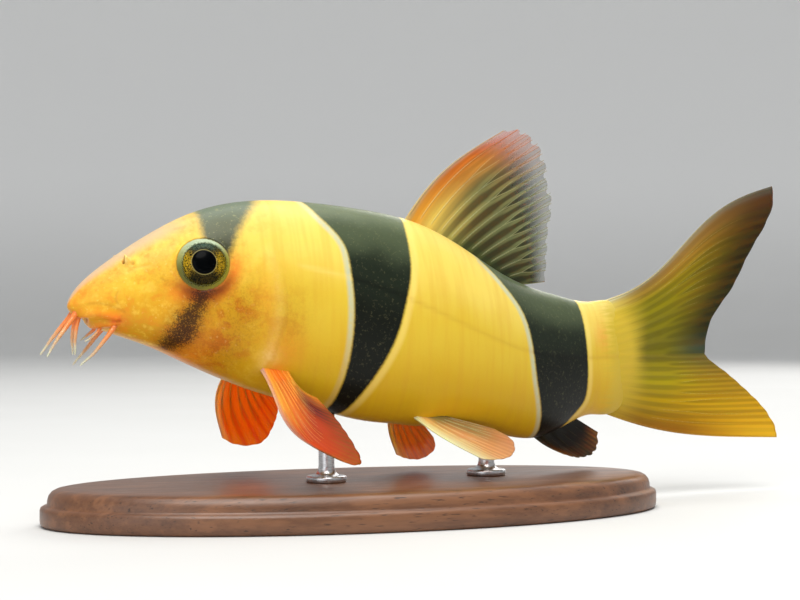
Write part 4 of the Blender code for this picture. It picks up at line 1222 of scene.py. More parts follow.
def tubes_along(name, paths, finish, tip_share, ring_length, ring_depth, waver, seed, sides):
    """A mesh of tubes. Each path is a dict of its points in millimetres and its marks."""
    points, edges, marks = [], [], {}
    for path in paths:
        start = len(points)
        points.extend((np.asarray(path["points"]) * MM).tolist())
        edges.extend((k, k + 1) for k in range(start, len(points) - 1))
        for mark_name, values in path.items():
            if mark_name != "points":
                marks.setdefault(mark_name, []).extend(np.broadcast_to(values, len(points) - start))
    wire = bpy.data.meshes.new(name + "_paths")
    wire.from_pydata(points, edges, [])
    put_marks(wire, marks)
    guide = bpy.data.objects.new(name + "_paths", wire)
    bpy.context.scene.collection.objects.link(guide)
    modifier = guide.modifiers.new("tubes", "NODES")
    modifier.node_group = TUBES
    given = {
        "Tip share": tip_share, "Ring length": ring_length * MM, "Ring depth": ring_depth,
        "Waver": waver * MM, "Seed": seed, "Sides": sides, "Finish": finish,
    }
    for item in TUBES.interface.items_tree:
        if item.in_out == "INPUT" and item.name in given:
            modifier[item.identifier] = given[item.name]
    bpy.context.view_layer.update()
    graph = bpy.context.evaluated_depsgraph_get()
    data = bpy.data.meshes.new_from_object(guide.evaluated_get(graph))
    guide.modifiers.remove(modifier)
    bpy.data.objects.remove(guide)
    data.name = name
    return data


BARBEL_TONES = (
    (0.0, 232, 118, 36), (0.3, 236, 134, 60), (0.6, 228, 172, 118), (0.95, 222, 218, 186),
)
BARBEL_GRAIN = (0.7, 2.0)
BARBEL_UNEVENNESS = 0.3
BARBEL_CLEARING = (0.3, 1.0, 1.0, 0.6)
BARBEL_CONSTANTS = {
    "Roughness": 0.3, "Subsurface Weight": 0.2, "Subsurface Radius": (1.0, 0.5, 0.3),
    "Subsurface Scale": 0.5 * MM, "Coat Weight": 0.3, "Coat Roughness": 0.15,
}


def barbel_finish():
    """Orange skin at the root that turns pale and a little clear at the tip."""
    mix = Finish("soft barbel skin")
    share, grain = mix.mark("share"), mix.grain(mix.place(), *BARBEL_GRAIN)
    colour = mix.ramp(mix.plus(share, mix.swung(grain, BARBEL_UNEVENNESS)), BARBEL_TONES)
    alpha = mix.turn(share, *BARBEL_CLEARING)
    return mix.surface({"Base Color": colour, "Alpha": alpha}, BARBEL_CONSTANTS)


feeler_finish = barbel_finish()
for number, (name, (girth, route)) in enumerate(BARBELS.items()):
    for side, word in ((1, "left"), (-1, "right")):
        share = np.linspace(0, 1, BARBEL_POINTS)
        s, aside, rise_at = curve_through(route)(share).T
        root_flare = 1 + BARBEL_FLARE[0] * swell(share, BARBEL_FLARE[1])
        tip_round = np.sqrt(np.clip((1 - share) / BARBEL_TIP_ROUNDING, BARBEL_TIP_LEAST, 1))
        path = {
            "points": placed(s, side * aside, rise_at),
            "share": share,
            "girth": girth * MM * root_flare * tip_round,
        }
        data = tubes_along(
            f"feeler_{name}_{word}", [path], feeler_finish, BARBEL_TIP_SHARE, BARBEL_RING_LENGTH,
            BARBEL_RING_DEPTH, BARBEL_WAVER, 3 * number + side + 1, BARBEL_SIDES,
        )
        piece = add_piece(f"feeler_{name}_{word}", data, feeler_finish)
        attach(piece, "root")
        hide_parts(f"barbel_{name}_{word}")

# The dorsal fin: a thin pleated membrane on jointed, branching rays, rooted in the back.
# The membrane is a closed sheet with a ragged edge, and its rays are tubes drawn by nodes.
# All the fins are made in this way, each over its own fan of rays.
MEMBRANE_HALF = 0.05
THINNED_BETWEEN = 0.5
PLEAT = 0.05
PLEAT_STARTS = (0.0, 0.3)
PLEAT_CALMS = (0.7, 1.0)
PLEAT_CALM = 0.6
FAN_ROWS = 70
FAN_COLUMNS = 10
FRONT_CORNER = 0.014
FRONT_CORNER_WIDTH = 0.1
DIP_SHARPNESS = 1.5
BOW_EASING = 0.35
ROOT_START = -0.05
FORK_SPREAD = 0.22
TWIG_SPREAD = 0.1
FIRST_FORK = 0.4
SECOND_FORK = 0.68
FORK_STRAY = 0.08
RAY_SIDES = 8
RAY_SEED = 100
# Thickness of a ray at its start and end as shares of its girth, and how many points it has.
FRONT_RAY = (1.5, 0.35, 44)
PLAIN_RAY = (1.15, 0.35, 44)
STEM = (1.2, 0.8, 26)
BRANCH = (0.62, 0.52, 18)
TWIG = (0.42, 0.2, 16)


def ray_place(root, tip, bow, wave, r, lateness=1.0):
    """Points on rays from root to tip in a plane, bowed to one side and waved to both."""
    span = tip - root
    normal = np.stack([-span[..., 1], span[..., 0]], axis=-1)
    bowed = bow * np.sin(math.pi * np.maximum(r, 0) ** lateness) * (1 - BOW_EASING * r)
    aside = bowed + wave * np.sin(2 * math.pi * r)
    return root + span * r[..., None] + normal * aside[..., None]


def median_fan(roots, tips, bow, wave, sway, sway_fades=False):
    """The middle surface of a fin in the body's middle plane, by share across and along."""
    root_line, tip_line = curve_through(roots), curve_through(tips)

    def fan(t, r):
        t, r = np.broadcast_arrays(t, r)
        flat = ray_place(root_line(t), tip_line(t), bow * (1 - t), wave * (1 - t), r)
        aside = sway * np.maximum(r, 0) ** 2 * (1 - t * sway_fades)
        return placed(flat[..., 0], aside, flat[..., 1])

    return fan


def fin_lengths(rays, notch, seed):
    """How long each ray is, as a share of its full length."""
    return 1 - notch * np.random.default_rng(seed).random(rays)


def between_rays(ray_phase):
    """0 on each ray and 1 halfway to the next."""
    return 0.5 - 0.5 * np.cos(2 * math.pi * ray_phase)


def fin_reach(t, rays, notch, seed):
    """How far the membrane reaches: a little further on the rays than between them."""
    whole = np.interp(t * (rays - 1), np.arange(rays), fin_lengths(rays, notch, seed))
    dip = between_rays(t * (rays - 1)) ** DIP_SHARPNESS
    corner = np.clip(1 - t / FRONT_CORNER_WIDTH, 0, 1) ** 2
    return whole - notch * dip - FRONT_CORNER * corner


def pleat_of(ray_phase, r):
    """How far the membrane swings to one side: nought at root, strong in the middle."""
    fade = smooth(*PLEAT_STARTS, r) * (1 - PLEAT_CALM * smooth(*PLEAT_CALMS, r))
    return PLEAT * np.sin(math.pi * ray_phase) * fade


def fin_membrane(name, fans, notch, seed, root_half, root_run, root_back, crowned):
    """One closed sheet over one or more fans side by side. Each fan is (surface, rays, way).

    It starts root_back inside the body, root_half thick each way, and thins out over root_run.
    A crowned root is thickest at the last ray and nought at the first.
    """
    grids, roots = [], []
    marks = {"fan_across": [], "fan_along": [], "ray_phase": [], "fan_part": []}
    for part, (fan, rays, forward) in enumerate(fans):
        t = np.linspace(0, 1, (rays - 1) * FAN_COLUMNS + 1)[:: 1 if forward else -1]
        reach = fin_reach(t, rays, notch, seed + part)[:, None]
        span = fan(t, np.ones_like(t)) - fan(t, np.zeros_like(t))
        length = np.linalg.norm(span, axis=-1)[:, None]
        start = -root_back / length
        r = start + (reach - start) * np.linspace(0, 1, FAN_ROWS)[None, :]
        columns = np.broadcast_to(t[:, None], r.shape)
        grids.append(fan(columns, r))
        crown = 1.0
        if crowned:
            crown = (1 - (1 - columns) ** BELLY_ROUNDNESS) ** (1 / BELLY_ROUNDNESS)
        roots.append(root_half * crown * swell((r - start) * length, root_run))
        marks["fan_across"].append(columns)
        marks["fan_along"].append(r)
        marks["ray_phase"].append(columns * (rays - 1))
        marks["fan_part"].append(np.full(r.shape, float(part)))
    grid = np.concatenate(grids)
    marks = {mark_name: np.concatenate(values) for mark_name, values in marks.items()}
    normal = unit(np.cross(np.gradient(grid, axis=0), np.gradient(grid, axis=1)))
    thinned = THINNED_BETWEEN * (0.5 - between_rays(marks["ray_phase"]))
    thin = MEMBRANE_HALF * (1 + thinned) + np.concatenate(roots)
    swing = pleat_of(marks["ray_phase"], marks["fan_along"])
    sheets = [grid + normal * (swing + sign * thin)[..., None] for sign in (1, -1)]
    columns, rows = grid.shape[:2]
    count = rows * columns
    faces = grid_faces(columns, rows, wrap_columns=False)
    faces += [[corner + count for corner in reversed(face)] for face in faces]
    border = [i * rows for i in range(columns)]
    border += [(columns - 1) * rows + j for j in range(1, rows)]
    border += [i * rows + rows - 1 for i in range(columns - 2, -1, -1)]
    border += list(range(rows - 2, 0, -1))
    faces += [(a, b, b + count, a + count) for a, b in zip(border, border[1:] + border[:1])]
    doubled = {mark_name: np.tile(values.ravel(), 2) for mark_name, values in marks.items()}
    return mesh_of(name, np.concatenate([s.reshape(-1, 3) for s in sheets]), faces, doubled)


def ray_paths(fan, rays, plain, notch, seed, girth, part):
    """Stems that fork, and whose forks fork again, save the plain ones at both ends."""
    draw = np.random.default_rng(seed + RAY_SEED)
    lengths = fin_lengths(rays, notch, seed)
    lengths[0] -= FRONT_CORNER
    gap = 1 / (rays - 1)
    nudge = 1e-3
    paths = []

    def add(start, end, t_start, t_end, form):
        thick_start, thick_end, points = form
        share = np.linspace(0, 1, points)
        t = np.clip(t_start + (t_end - t_start) * smooth(0, 1, share), 0, 1)
        r = start + (end - start) * share
        across_way = fan(np.minimum(t + nudge, 1), r) - fan(np.maximum(t - nudge, 0), r)
        normal = unit(np.cross(across_way, fan(t, r + nudge) - fan(t, r - nudge)))
        paths.append({
            "points": fan(t, r) + normal * pleat_of(t / gap, r)[..., None],
            "share": share,
            "girth": girth * MM * (thick_start + (thick_end - thick_start) * share),
            "fan_across": t,
            "fan_along": r,
            "fan_part": float(part),
        })

    for k in range(rays):
        t, end = k * gap, lengths[k]
        if k < plain or k == rays - 1:
            add(ROOT_START, end, t, t, FRONT_RAY if k == 0 else PLAIN_RAY)
            continue
        first = FIRST_FORK + FORK_STRAY * draw.random()
        second = SECOND_FORK + FORK_STRAY * draw.random()
        add(ROOT_START, first, t, t, STEM)
        for way in (-1, 1):
            fork = t + way * FORK_SPREAD * gap
            add(first, second, t, fork, BRANCH)
            for twig in (-1, 1):
                add(second, end, fork, fork + twig * TWIG_SPREAD * gap, TWIG)
    return paths


STREAKS_ACROSS = 34.0
STREAKS_ALONG = 3.0
STREAK_NOISE = {"Scale": 1.0, "Detail": 3.0}
STREAK_STRAY = 0.12
FORKED_FROM = (0.42, 0.62)
GAP_EDGES = (0.85, -0.65)
GAP_STRENGTH_RUN = (0.0, 0.3)
GAP_START_RUN = 0.2
GAP_START_LEAST = 0.25
JOINTS = 210.0
JOINT_EDGES = (0.3, 1.0)


def fan_streaks_group():
    """Uneven pigment drawn out along the rays: streaks, and how far colours stray with them."""
    names = ("Across", "Along", "Part")
    mix, given, result = effect_group("fan streaks", names, ("Streaks", "Stray"))
    across = mix.times(given["Across"], STREAKS_ACROSS)
    place = mix.spread_out(across, mix.times(given["Along"], STREAKS_ALONG), given["Part"])
    streaks = mix.node("ShaderNodeTexNoise", {"Vector": place, **STREAK_NOISE}, "Fac")
    stray = mix.swung(streaks, STREAK_STRAY)
    connect(mix.tree, result, {"Streaks": streaks, "Stray": stray})
    return mix.tree


def ray_gaps_group():
    """The clear skin between stems, and beyond their forks between the branches."""
    names = ("Phase", "Across", "Along", "Root", "Tip", "Start")
    mix, given, result = effect_group("gaps between rays", names, ("Gaps",))
    phase = mix.times(given["Phase"], 2 * math.pi)
    forked = mix.turn(given["Along"], *FORKED_FROM)
    stems = mix.times(mix.sums("COSINE", phase), mix.minus(1.0, forked))
    forks = mix.sums("COSINE", mix.times(phase, 2.0))
    gaps = mix.turn(mix.minus(stems, mix.times(forked, forks)), *GAP_EDGES)
    strength = mix.turn(given["Along"], *GAP_STRENGTH_RUN, given["Root"], given["Tip"])
    full_from = mix.plus(given["Start"], GAP_START_RUN)
    started = mix.turn(given["Across"], given["Start"], full_from, GAP_START_LEAST, 1.0)
    connect(mix.tree, result, {"Gaps": mix.times(mix.times(strength, started), gaps)})
    return mix.tree


def ray_joints_group():
    """The fine pale joints of the rays, between a least and a greatest share of pale."""
    mix, given, result = effect_group("ray joints", ("Along", "Least", "Most"), ("Pale",))
    joints = mix.sums("SINE", mix.times(given["Along"], JOINTS))
    pale = mix.turn(joints, *JOINT_EDGES, given["Least"], given["Most"])
    connect(mix.tree, result, {"Pale": pale})
    return mix.tree


FAN_STREAKS, RAY_GAPS, RAY_JOINTS = fan_streaks_group(), ray_gaps_group(), ray_joints_group()
STRAY_ACROSS = 0.3
JOINT_CONTRAST = 0.08
TIP_TO = 0.98
THIN_TO = 0.96
RAY_TIP_ALPHA = 0.85
CLOUDING = 1.5
FIN_RELIEF = (0.25, 0.05)
FIN_CONSTANTS = {
    "Roughness": 0.46, "Specular IOR Level": 0.14, "Subsurface Radius": (1.0, 0.5, 0.2),
    "Subsurface Scale": 0.6 * MM,
}


def fin_finish(name, tones, look, on_rays=False, second_tones=None):
    """Colours across the fan at root, middle and tip, and darker between the rays.

    The look says where root, middle and tip colours meet, how the gaps and rays differ from
    them, how clear the fin turns from thin_from on, and how much light comes through it.
    """
    mix = Finish(name)
    across_fan, along_fan, fan_part = [mix.mark("fan_" + m) for m in ("across", "along", "part")]
    given = {"Across": across_fan, "Along": along_fan, "Part": fan_part}
    uneven = put(mix.tree, "ShaderNodeGroup", given, node_tree=FAN_STREAKS).outputs
    streaks, stray = uneven["Streaks"], uneven["Stray"]
    t = mix.scaled(stray, STRAY_ACROSS, across_fan)
    r = mix.plus(along_fan, stray)

    def fan_colour(tone):
        root, centre, tip = (mix.ramp(t, stops) for stops in tone)
        lower = mix.blend(mix.turn(r, look["root_to"], look["middle_at"]), root, centre)
        return mix.blend(mix.turn(r, look["tip_from"], TIP_TO), lower, tip)

    colour = fan_colour(tones)
    if second_tones is not None:
        colour = mix.blend(fan_part, colour, fan_colour(second_tones))
    if on_rays:
        most = look["pale_rays"] + JOINT_CONTRAST
        given = {"Along": along_fan, "Least": look["pale_rays"], "Most": most}
        colour = mix.lay(colour, mix.effect(RAY_JOINTS, "Pale", given), look["ray_tone"])
    else:
        given = {
            "Phase": mix.mark("ray_phase"), "Across": across_fan, "Along": r,
            "Root": look["gap_root"], "Tip": look["gap_tip"], "Start": look["gaps_from"],
        }
        colour = mix.lay(colour, mix.effect(RAY_GAPS, "Gaps", given), look["gap_shade"])
    tip_alpha = RAY_TIP_ALPHA if on_rays else look["tip_alpha"]
    solid = mix.turn(r, look["thin_from"], THIN_TO, look["root_alpha"], tip_alpha)
    return mix.surface({
        "Base Color": colour,
        "Alpha": mix.scaled(stray, CLOUDING, solid),
        "Normal": mix.bump(streaks, *FIN_RELIEF),
    }, {"Subsurface Weight": look["light_through"], **FIN_CONSTANTS})


def add_fin(name, nodes, slot, fans, tones, look, seed, plain=1, notch=0.006, girth=0.13,
            root_half=0.5, root_run=2.2, root_back=1.0, crowned=False, second_tones=None):
    """A fin's membrane and its rays, each a piece with a finish of its own."""
    web_finish = fin_finish(name + " membrane", tones, look, second_tones=second_tones)
    rib_finish = fin_finish(name + " rays", tones, look, on_rays=True, second_tones=second_tones)
    web_mesh = fin_membrane(
        name + "_membrane", fans, notch, seed, root_half, root_run, root_back, crowned
    )
    paths = []
    for part, (fan, rays, _) in enumerate(fans):
        paths += ray_paths(fan, rays, plain, notch, seed + part, girth, part)
    rib_mesh = tubes_along(
        name + "_rays", paths, rib_finish, tip_share=1.0, ring_length=0.1, ring_depth=0.0,
        waver=0.0, seed=seed, sides=RAY_SIDES,
    )
    for part_name, data, finish in (
        ("_membrane", web_mesh, web_finish), ("_rays", rib_mesh, rib_finish),
    ):
        piece = add_piece(name + part_name, data, finish)
        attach(piece, "root")
        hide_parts(*nodes)


# What most of the fins share. Each fin's own look adds to this and changes some of it.
FIN_LOOK = dict(
    root_to=0.05, middle_at=0.5, tip_from=0.5, root_alpha=1.0, thin_from=0.7, gaps_from=0.0,
    light_through=0.6,
)
DORSAL_RAYS = 12
DORSAL_FAN = median_fan(
    ((47.2, 10.2), (55.5, 6.6), (64.5, 2.0)),
    ((65.0, 24.6), (68.6, 24.7), (72.0, 20.8), (73.3, 15.4), (72.7, 9.0), (71.8, 2.7)),
    bow=0.1, wave=0.0, sway=-0.8, sway_fades=True,
)
# Tones across the fan from its first ray to its last: at the root, in the middle and at the tip.
DORSAL_TONES = (
    ((0.0, 190, 160, 104), (0.05, 226, 160, 52), (0.18, 226, 196, 92), (0.34, 176, 166, 86),
     (0.5, 78, 84, 40), (1.0, 44, 48, 22)),
    ((0.0, 166, 140, 112), (0.04, 206, 112, 34), (0.14, 190, 130, 50), (0.26, 122, 124, 74),
     (0.6, 104, 116, 74), (1.0, 76, 84, 48)),
    ((0.0, 186, 130, 96), (0.05, 208, 88, 24), (0.2, 194, 94, 32), (0.42, 122, 126, 82),
     (0.8, 118, 130, 88), (1.0, 88, 96, 54)),
)
DORSAL_LOOK = dict(
    FIN_LOOK, gap_shade=(22, 28, 12), gap_root=0.45, gap_tip=0.8, gaps_from=0.16, pale_rays=0.2,
    ray_tone=(206, 200, 150), light_through=0.3, root_alpha=0.96, tip_alpha=0.2, thin_from=0.55,
)
add_fin(
    "dorsal", ("dorsal_fin",), "fin_dorsal", [(DORSAL_FAN, DORSAL_RAYS, True)], DORSAL_TONES,
    DORSAL_LOOK, seed=11, plain=2, notch=0.035, girth=0.14,
)

# The caudal fin: a forked fin of two lobes, one sheet from edge to edge over both.
# Its fleshy root swells out of the tail, and the lobes' outer rays are the longest and plain.
CAUDAL_RAYS = 9
UPPER_FAN = median_fan(
    ((82.6, -0.5), (87.4, -4.0), (88.6, -8.25)),
    ((118.4, 18.2), (118.0, 15.2), (114.0, 8.4), (109.4, 1.2), (105.6, -3.6), (104.5, -8.25)),
    bow=-0.01, wave=-0.038, sway=0.6,
)
LOWER_FAN = median_fan(
    ((82.6, -16.4), (87.4, -12.6), (88.6, -8.35)),
    ((119.3, -21.8), (117.2, -18.2), (112.8, -14.2), (108.0, -10.8), (105.2, -9.0), (104.5, -8.35)),
    bow=-0.05, wave=0.0, sway=0.6,
)
UPPER_TONES = (
    ((0.0, 200, 190, 146), (0.1, 214, 190, 92), (0.3, 212, 182, 56), (1.0, 212, 180, 54)),
    ((0.0, 150, 142, 108), (0.05, 148, 118, 56), (0.14, 166, 132, 38), (0.32, 142, 130, 12),
     (1.0, 124, 114, 14)),
    ((0.0, 82, 80, 66), (0.06, 60, 44, 20), (0.2, 40, 32, 8), (0.45, 28, 28, 4),
     (0.85, 30, 38, 16), (1.0, 54, 72, 56)),
)
LOWER_TONES = (
    ((0.0, 208, 172, 40), (0.3, 210, 176, 46), (1.0, 212, 180, 54)),
    ((0.0, 144, 98, 2), (0.35, 180, 146, 8), (0.7, 170, 152, 14), (1.0, 132, 118, 18)),
    ((0.0, 222, 172, 30), (0.3, 204, 160, 20), (0.6, 172, 138, 22), (1.0, 104, 100, 44)),
)
CAUDAL_LOOK = dict(
    FIN_LOOK, gap_shade=(66, 60, 8), gap_root=0.03, gap_tip=0.34, pale_rays=0.06,
    ray_tone=(226, 200, 130), light_through=0.3, root_to=-0.04, middle_at=0.26, tip_from=0.42,
    tip_alpha=0.96,
)
add_fin(
    "caudal", ("caudal_fin_upper", "caudal_fin_lower"), "fin_caudal",
    [(UPPER_FAN, CAUDAL_RAYS, True), (LOWER_FAN, CAUDAL_RAYS, False)], UPPER_TONES, CAUDAL_LOOK,
    seed=16, plain=2, notch=0.004, girth=0.14, root_half=1.95, root_run=8.4, root_back=4.6,
    crowned=True, second_tones=LOWER_TONES,
)

# The anal fin: small and black, laid back along the underside of the tail.
# Its rays are dark too, and only its margin is yellow-brown.
ANAL_RAYS = 8
ANAL_FAN = median_fan(
    ((68.6, -19.0), (72.6, -18.4), (76.4, -16.9)),
    ((75.8, -22.8), (79.6, -23.4), (82.4, -22.3), (82.6, -19.8)),
    bow=-0.06, wave=0.0, sway=0.0,
)
ANAL_TONES = (
    ((0.0, 34, 28, 8), (1.0, 10, 10, 5)),
    ((0.0, 60, 46, 12), (0.3, 14, 14, 7), (1.0, 14, 13, 6)),
    ((0.0, 126, 88, 24), (0.5, 62, 56, 24), (1.0, 112, 82, 26)),
)
ANAL_LOOK = dict(
    FIN_LOOK, gap_shade=(6, 6, 3), gap_root=0.3, gap_tip=0.5, pale_rays=0.05,
    ray_tone=(140, 132, 84), tip_alpha=0.9,
)
add_fin(
    "anal", ("anal_fin",), "fin_anal", [(ANAL_FAN, ANAL_RAYS, True)], ANAL_TONES, ANAL_LOOK,
    seed=22, notch=0.03, girth=0.12,
)

# The pectoral fins: a spread pair behind the gill slits, orange-red, held out and down.
# Each has a stout lilac front ray, and the left one is narrower and turned lower.
PECTORAL_RAYS = 11
PECTORAL_WIDTH = 3.3
PECTORAL_CUP = 1.0
PECTORAL_SEED = 27
PECTORAL_TIPS = ((-3.2, 16.6), (-1.7, 18.6), (0.3, 19.4), (2.0, 16.6), (2.8, 12.6), (2.7, 8.0))


def paired_fan(at, root_width, tips, way, spread, cup, bow, side):
    """The middle surface of a fin on one flank.

    Its bow is that of the first ray, that of the last, and how late on the rays it comes.
    """
    ray_way = unit(way)
    axis_way = np.array([1.0, 0.0, 0.0])
    chord_way = unit(axis_way - ray_way * (axis_way @ ray_way))
    facing = np.cross(ray_way, chord_way)
    tip_line = curve_through(tips)
    longest = max(tip[1] for tip in tips)

    def fan(t, r):
        t, r = np.broadcast_arrays(t, r)
        shift = (t - 0.5) * root_width
        root = np.stack([shift * (axis_way @ chord_way), shift * (axis_way @ ray_way)], axis=-1)
        tip = tip_line(t) * np.array([spread, 1.0])
        flat = ray_place(root, tip, bow[0] + (bow[1] - bow[0]) * t, 0.0, r, bow[2])
        curl = cup * (flat[..., 1] / longest) ** 2
        local = np.array(at) + flat[..., 1:] * ray_way + flat[..., :1] * chord_way
        local = local + curl[..., None] * facing
        return placed(local[..., 0], side * local[..., 1], local[..., 2])

    return fan


def add_pair(kind, at, width, rays, tips, cup, seed, look, fins, **root):
    """The left and the right fin of a pair, each with its own side, way, spread, bow and tones."""
    for word, fin in fins.items():
        fan = paired_fan(at, width, tips, fin["way"], fin["spread"], cup, fin["bow"], fin["side"])
        add_fin(
            f"{kind}_{word}", (f"{kind}_fin_{word}",), "fin_paired", [(fan, rays, True)],
            fin["tones"], {**look, **fin.get("look", {})}, seed=seed + fin["side"], **root,
        )


PECTORAL_LOOK = dict(
    FIN_LOOK, gap_root=0.05, gap_tip=0.4, gaps_from=0.05, pale_rays=0.16,
    ray_tone=(255, 190, 110), root_to=0.34, middle_at=0.7, tip_from=0.76, tip_alpha=0.92,
)
PECTORALS = {
    "left": dict(
        side=1, way=(0.44, 0.64, -0.63), spread=0.74, bow=(0.2, 0.15, 1.8),
        look=dict(light_through=0.6, gap_shade=(168, 40, 14)), tones=(
            ((0.0, 206, 150, 126), (0.1, 244, 150, 40), (0.4, 238, 118, 16), (1.0, 240, 158, 34)),
            ((0.0, 156, 106, 104), (0.08, 170, 84, 56), (0.15, 190, 64, 4), (0.5, 166, 56, 2),
             (0.76, 60, 20, 12), (0.9, 130, 72, 10), (1.0, 200, 136, 16)),
            ((0.0, 150, 88, 76), (0.09, 150, 84, 36), (0.16, 158, 82, 6), (0.55, 132, 64, 6),
             (0.8, 112, 54, 8), (1.0, 200, 124, 20)),
        ),
    ),
    # The right fin lies in the shadow under the belly: its tones and gaps are painted brighter
    # orange than the left's, painted light for the light that shines through it.
    "right": dict(
        side=-1, way=(0.3, 0.74, -0.62), spread=1.4, bow=(0.12, 0.0, 1.0),
        look=dict(light_through=1.0, gap_shade=(226, 70, 6)), tones=(
            ((0.0, 250, 170, 90), (0.2, 255, 132, 12), (1.0, 255, 134, 14)),
            ((0.0, 232, 190, 156), (0.1, 255, 128, 12), (0.6, 255, 120, 8), (1.0, 244, 120, 16)),
            ((0.0, 226, 180, 146), (0.12, 255, 148, 24), (0.6, 252, 136, 18),
             (1.0, 230, 128, 28)),
        ),
    ),
}
add_pair(
    "pectoral", PECTORAL_AT, PECTORAL_WIDTH, PECTORAL_RAYS, PECTORAL_TIPS, PECTORAL_CUP,
    PECTORAL_SEED, PECTORAL_LOOK, PECTORALS, root_half=0.8, root_run=2.8,
)

# The pelvic fins: a smaller pair under the belly, with a cream front edge and pink rays.
# The left one's rear half is a clearer olive grey.
PELVIC_RAYS = 8
PELVIC_WIDTH = 3.6
PELVIC_CUP = 0.5
PELVIC_SEED = 37
PELVIC_BOW = (0.06, 0.0, 1.0)
PELVIC_TIPS = ((-2.3, 9.8), (-0.3, 12.0), (2.0, 13.0), (3.9, 12.3), (4.3, 9.2))
PELVIC_LOOK = dict(
    FIN_LOOK, gap_shade=(176, 92, 40), gap_root=0.05, gap_tip=0.35, gaps_from=0.1, pale_rays=0.2,
    ray_tone=(255, 226, 176), tip_alpha=0.8, thin_from=0.5,
)
PELVICS = {
    "left": dict(side=1, way=(0.74, 0.46, -0.46), spread=1.0, bow=PELVIC_BOW, tones=(
        ((0.0, 250, 228, 160), (0.25, 240, 186, 96), (0.5, 150, 132, 66), (1.0, 120, 108, 50)),
        ((0.0, 250, 230, 172), (0.18, 244, 196, 130), (0.42, 232, 158, 96),
         (0.66, 150, 128, 72), (1.0, 140, 120, 66)),
        ((0.0, 246, 214, 160), (0.3, 236, 164, 104), (0.7, 214, 140, 84), (1.0, 190, 140, 84)),
    )),
    "right": dict(side=-1, way=(0.5, 0.64, -0.58), spread=0.95, bow=PELVIC_BOW, tones=(
        ((0.0, 250, 196, 100), (0.3, 255, 152, 34), (1.0, 250, 150, 40)),
        ((0.0, 250, 196, 110), (0.25, 255, 146, 30), (1.0, 246, 138, 36)),
        ((0.0, 248, 196, 124), (0.4, 252, 146, 40), (1.0, 236, 146, 54)),
    )),
}
add_pair(
    "pelvic", PELVIC_AT, PELVIC_WIDTH, PELVIC_RAYS, PELVIC_TIPS, PELVIC_CUP, PELVIC_SEED,
    PELVIC_LOOK, PELVICS,
)

# The stand's base: an oval of oiled walnut with a moulded edge, cut on a router.
# The grain runs along the fish, and the dark pores and paler streaks show under the oil.
BASE_LENGTH = 90.0
BASE_WIDTH = 44.0
BASE_THICKNESS = 5.0
BASE_SIDES = 192
# How far in from the widest outline, and height: first up the moulded edge, then over the top.
BASE_PROFILE = (
    (0.9, 0.0), (0.35, 0.12), (0.08, 0.4), (0.0, 0.8), (0.0, 2.2), (0.12, 2.55), (0.5, 2.75),
    (0.85, 2.85), (0.95, 3.05), (0.98, 3.5), (1.15, 4.1), (1.55, 4.6), (2.1, 4.88), (2.8, 5.0),
    *((inset, BASE_THICKNESS) for inset in (6.0, 11.0, 16.0, 20.0)),
)
WALNUT_STRETCH = (0.12, 1.0, 1.0)
# Unevenness of the wood: size in millimetres, detail and roughness.
WALNUT_WARP = (14.0, 2.0)
WALNUT_WARP_DEPTH = 9.0
WALNUT_FIGURE = (2.6, 4.0, 0.6)
WALNUT_FINE = (0.5, 4.0, 0.7)
WALNUT_PORES = (0.28, 2.0, 0.5)
PORE_TURN = (0.62, 0.72)
PORE_STRENGTH = 0.7
STREAK_TURN = (0.3, 0.8, 0.0, 0.4)
WALNUT_ROUGHNESS = (0.2, 0.9, 0.34, 0.5)
WALNUT_TONES = ((0.25, 58, 34, 22), (0.48, 98, 62, 40), (0.62, 122, 80, 52), (0.8, 72, 44, 28))
STREAK_TONE = (138, 94, 62)
PORE_TONE = (36, 20, 12)
WALNUT_RELIEF = (0.3, 0.05)
OIL_COAT = {"Coat Weight": 0.15, "Coat Roughness": 0.3}


def stacked_rings(name, rings, sides, middle=(0.0, 0.0), open_top=False):
    """A form from rings that are given by half length, half width and height, closed below."""
    angle = angles_round(sides)
    rows = []
    for half_length, half_width, height in rings:
        x = middle[0] + half_length * np.cos(angle)
        y = middle[1] + half_width * np.sin(angle)
        rows.append(np.stack([x, y, np.full_like(x, height)], axis=-1))
    faces = grid_faces(len(rows), sides)
    faces.append(list(range(sides)))
    if not open_top:
        faces.append([(len(rows) - 1) * sides + j for j in range(sides)])
    return mesh_of(name, np.concatenate(rows), faces)


def walnut_finish():
    """Brown wood whose figure, streaks and pores are drawn out along the grain."""
    mix = Finish("oiled walnut")
    stretched = mix.stretched(mix.place(), WALNUT_STRETCH)
    warp = mix.times(mix.grain(stretched, *WALNUT_WARP), WALNUT_WARP_DEPTH * MM)
    warped = {0: stretched, 1: mix.spread_out(0.0, warp)}
    figure_place = mix.node("ShaderNodeVectorMath", warped, operation="ADD")
    fine = mix.grain(stretched, *WALNUT_FINE)
    pores = mix.turn(mix.grain(stretched, *WALNUT_PORES), *PORE_TURN)
    colour = mix.ramp(mix.grain(figure_place, *WALNUT_FIGURE), WALNUT_TONES)
    colour = mix.lay(colour, mix.turn(fine, *STREAK_TURN), STREAK_TONE)
    colour = mix.lay(colour, pores, PORE_TONE, PORE_STRENGTH)
    return mix.surface({
        "Base Color": colour,
        "Roughness": mix.turn(fine, *WALNUT_ROUGHNESS),
        "Normal": mix.bump(mix.minus(fine, pores), *WALNUT_RELIEF),
    }, OIL_COAT)


base_rings = [(BASE_LENGTH / 2 - inset, BASE_WIDTH / 2 - inset, z) for inset, z in BASE_PROFILE]
base = add_piece("base", stacked_rings("base", base_rings, BASE_SIDES), walnut_finish())
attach(base, "root")
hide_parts("stand_base")

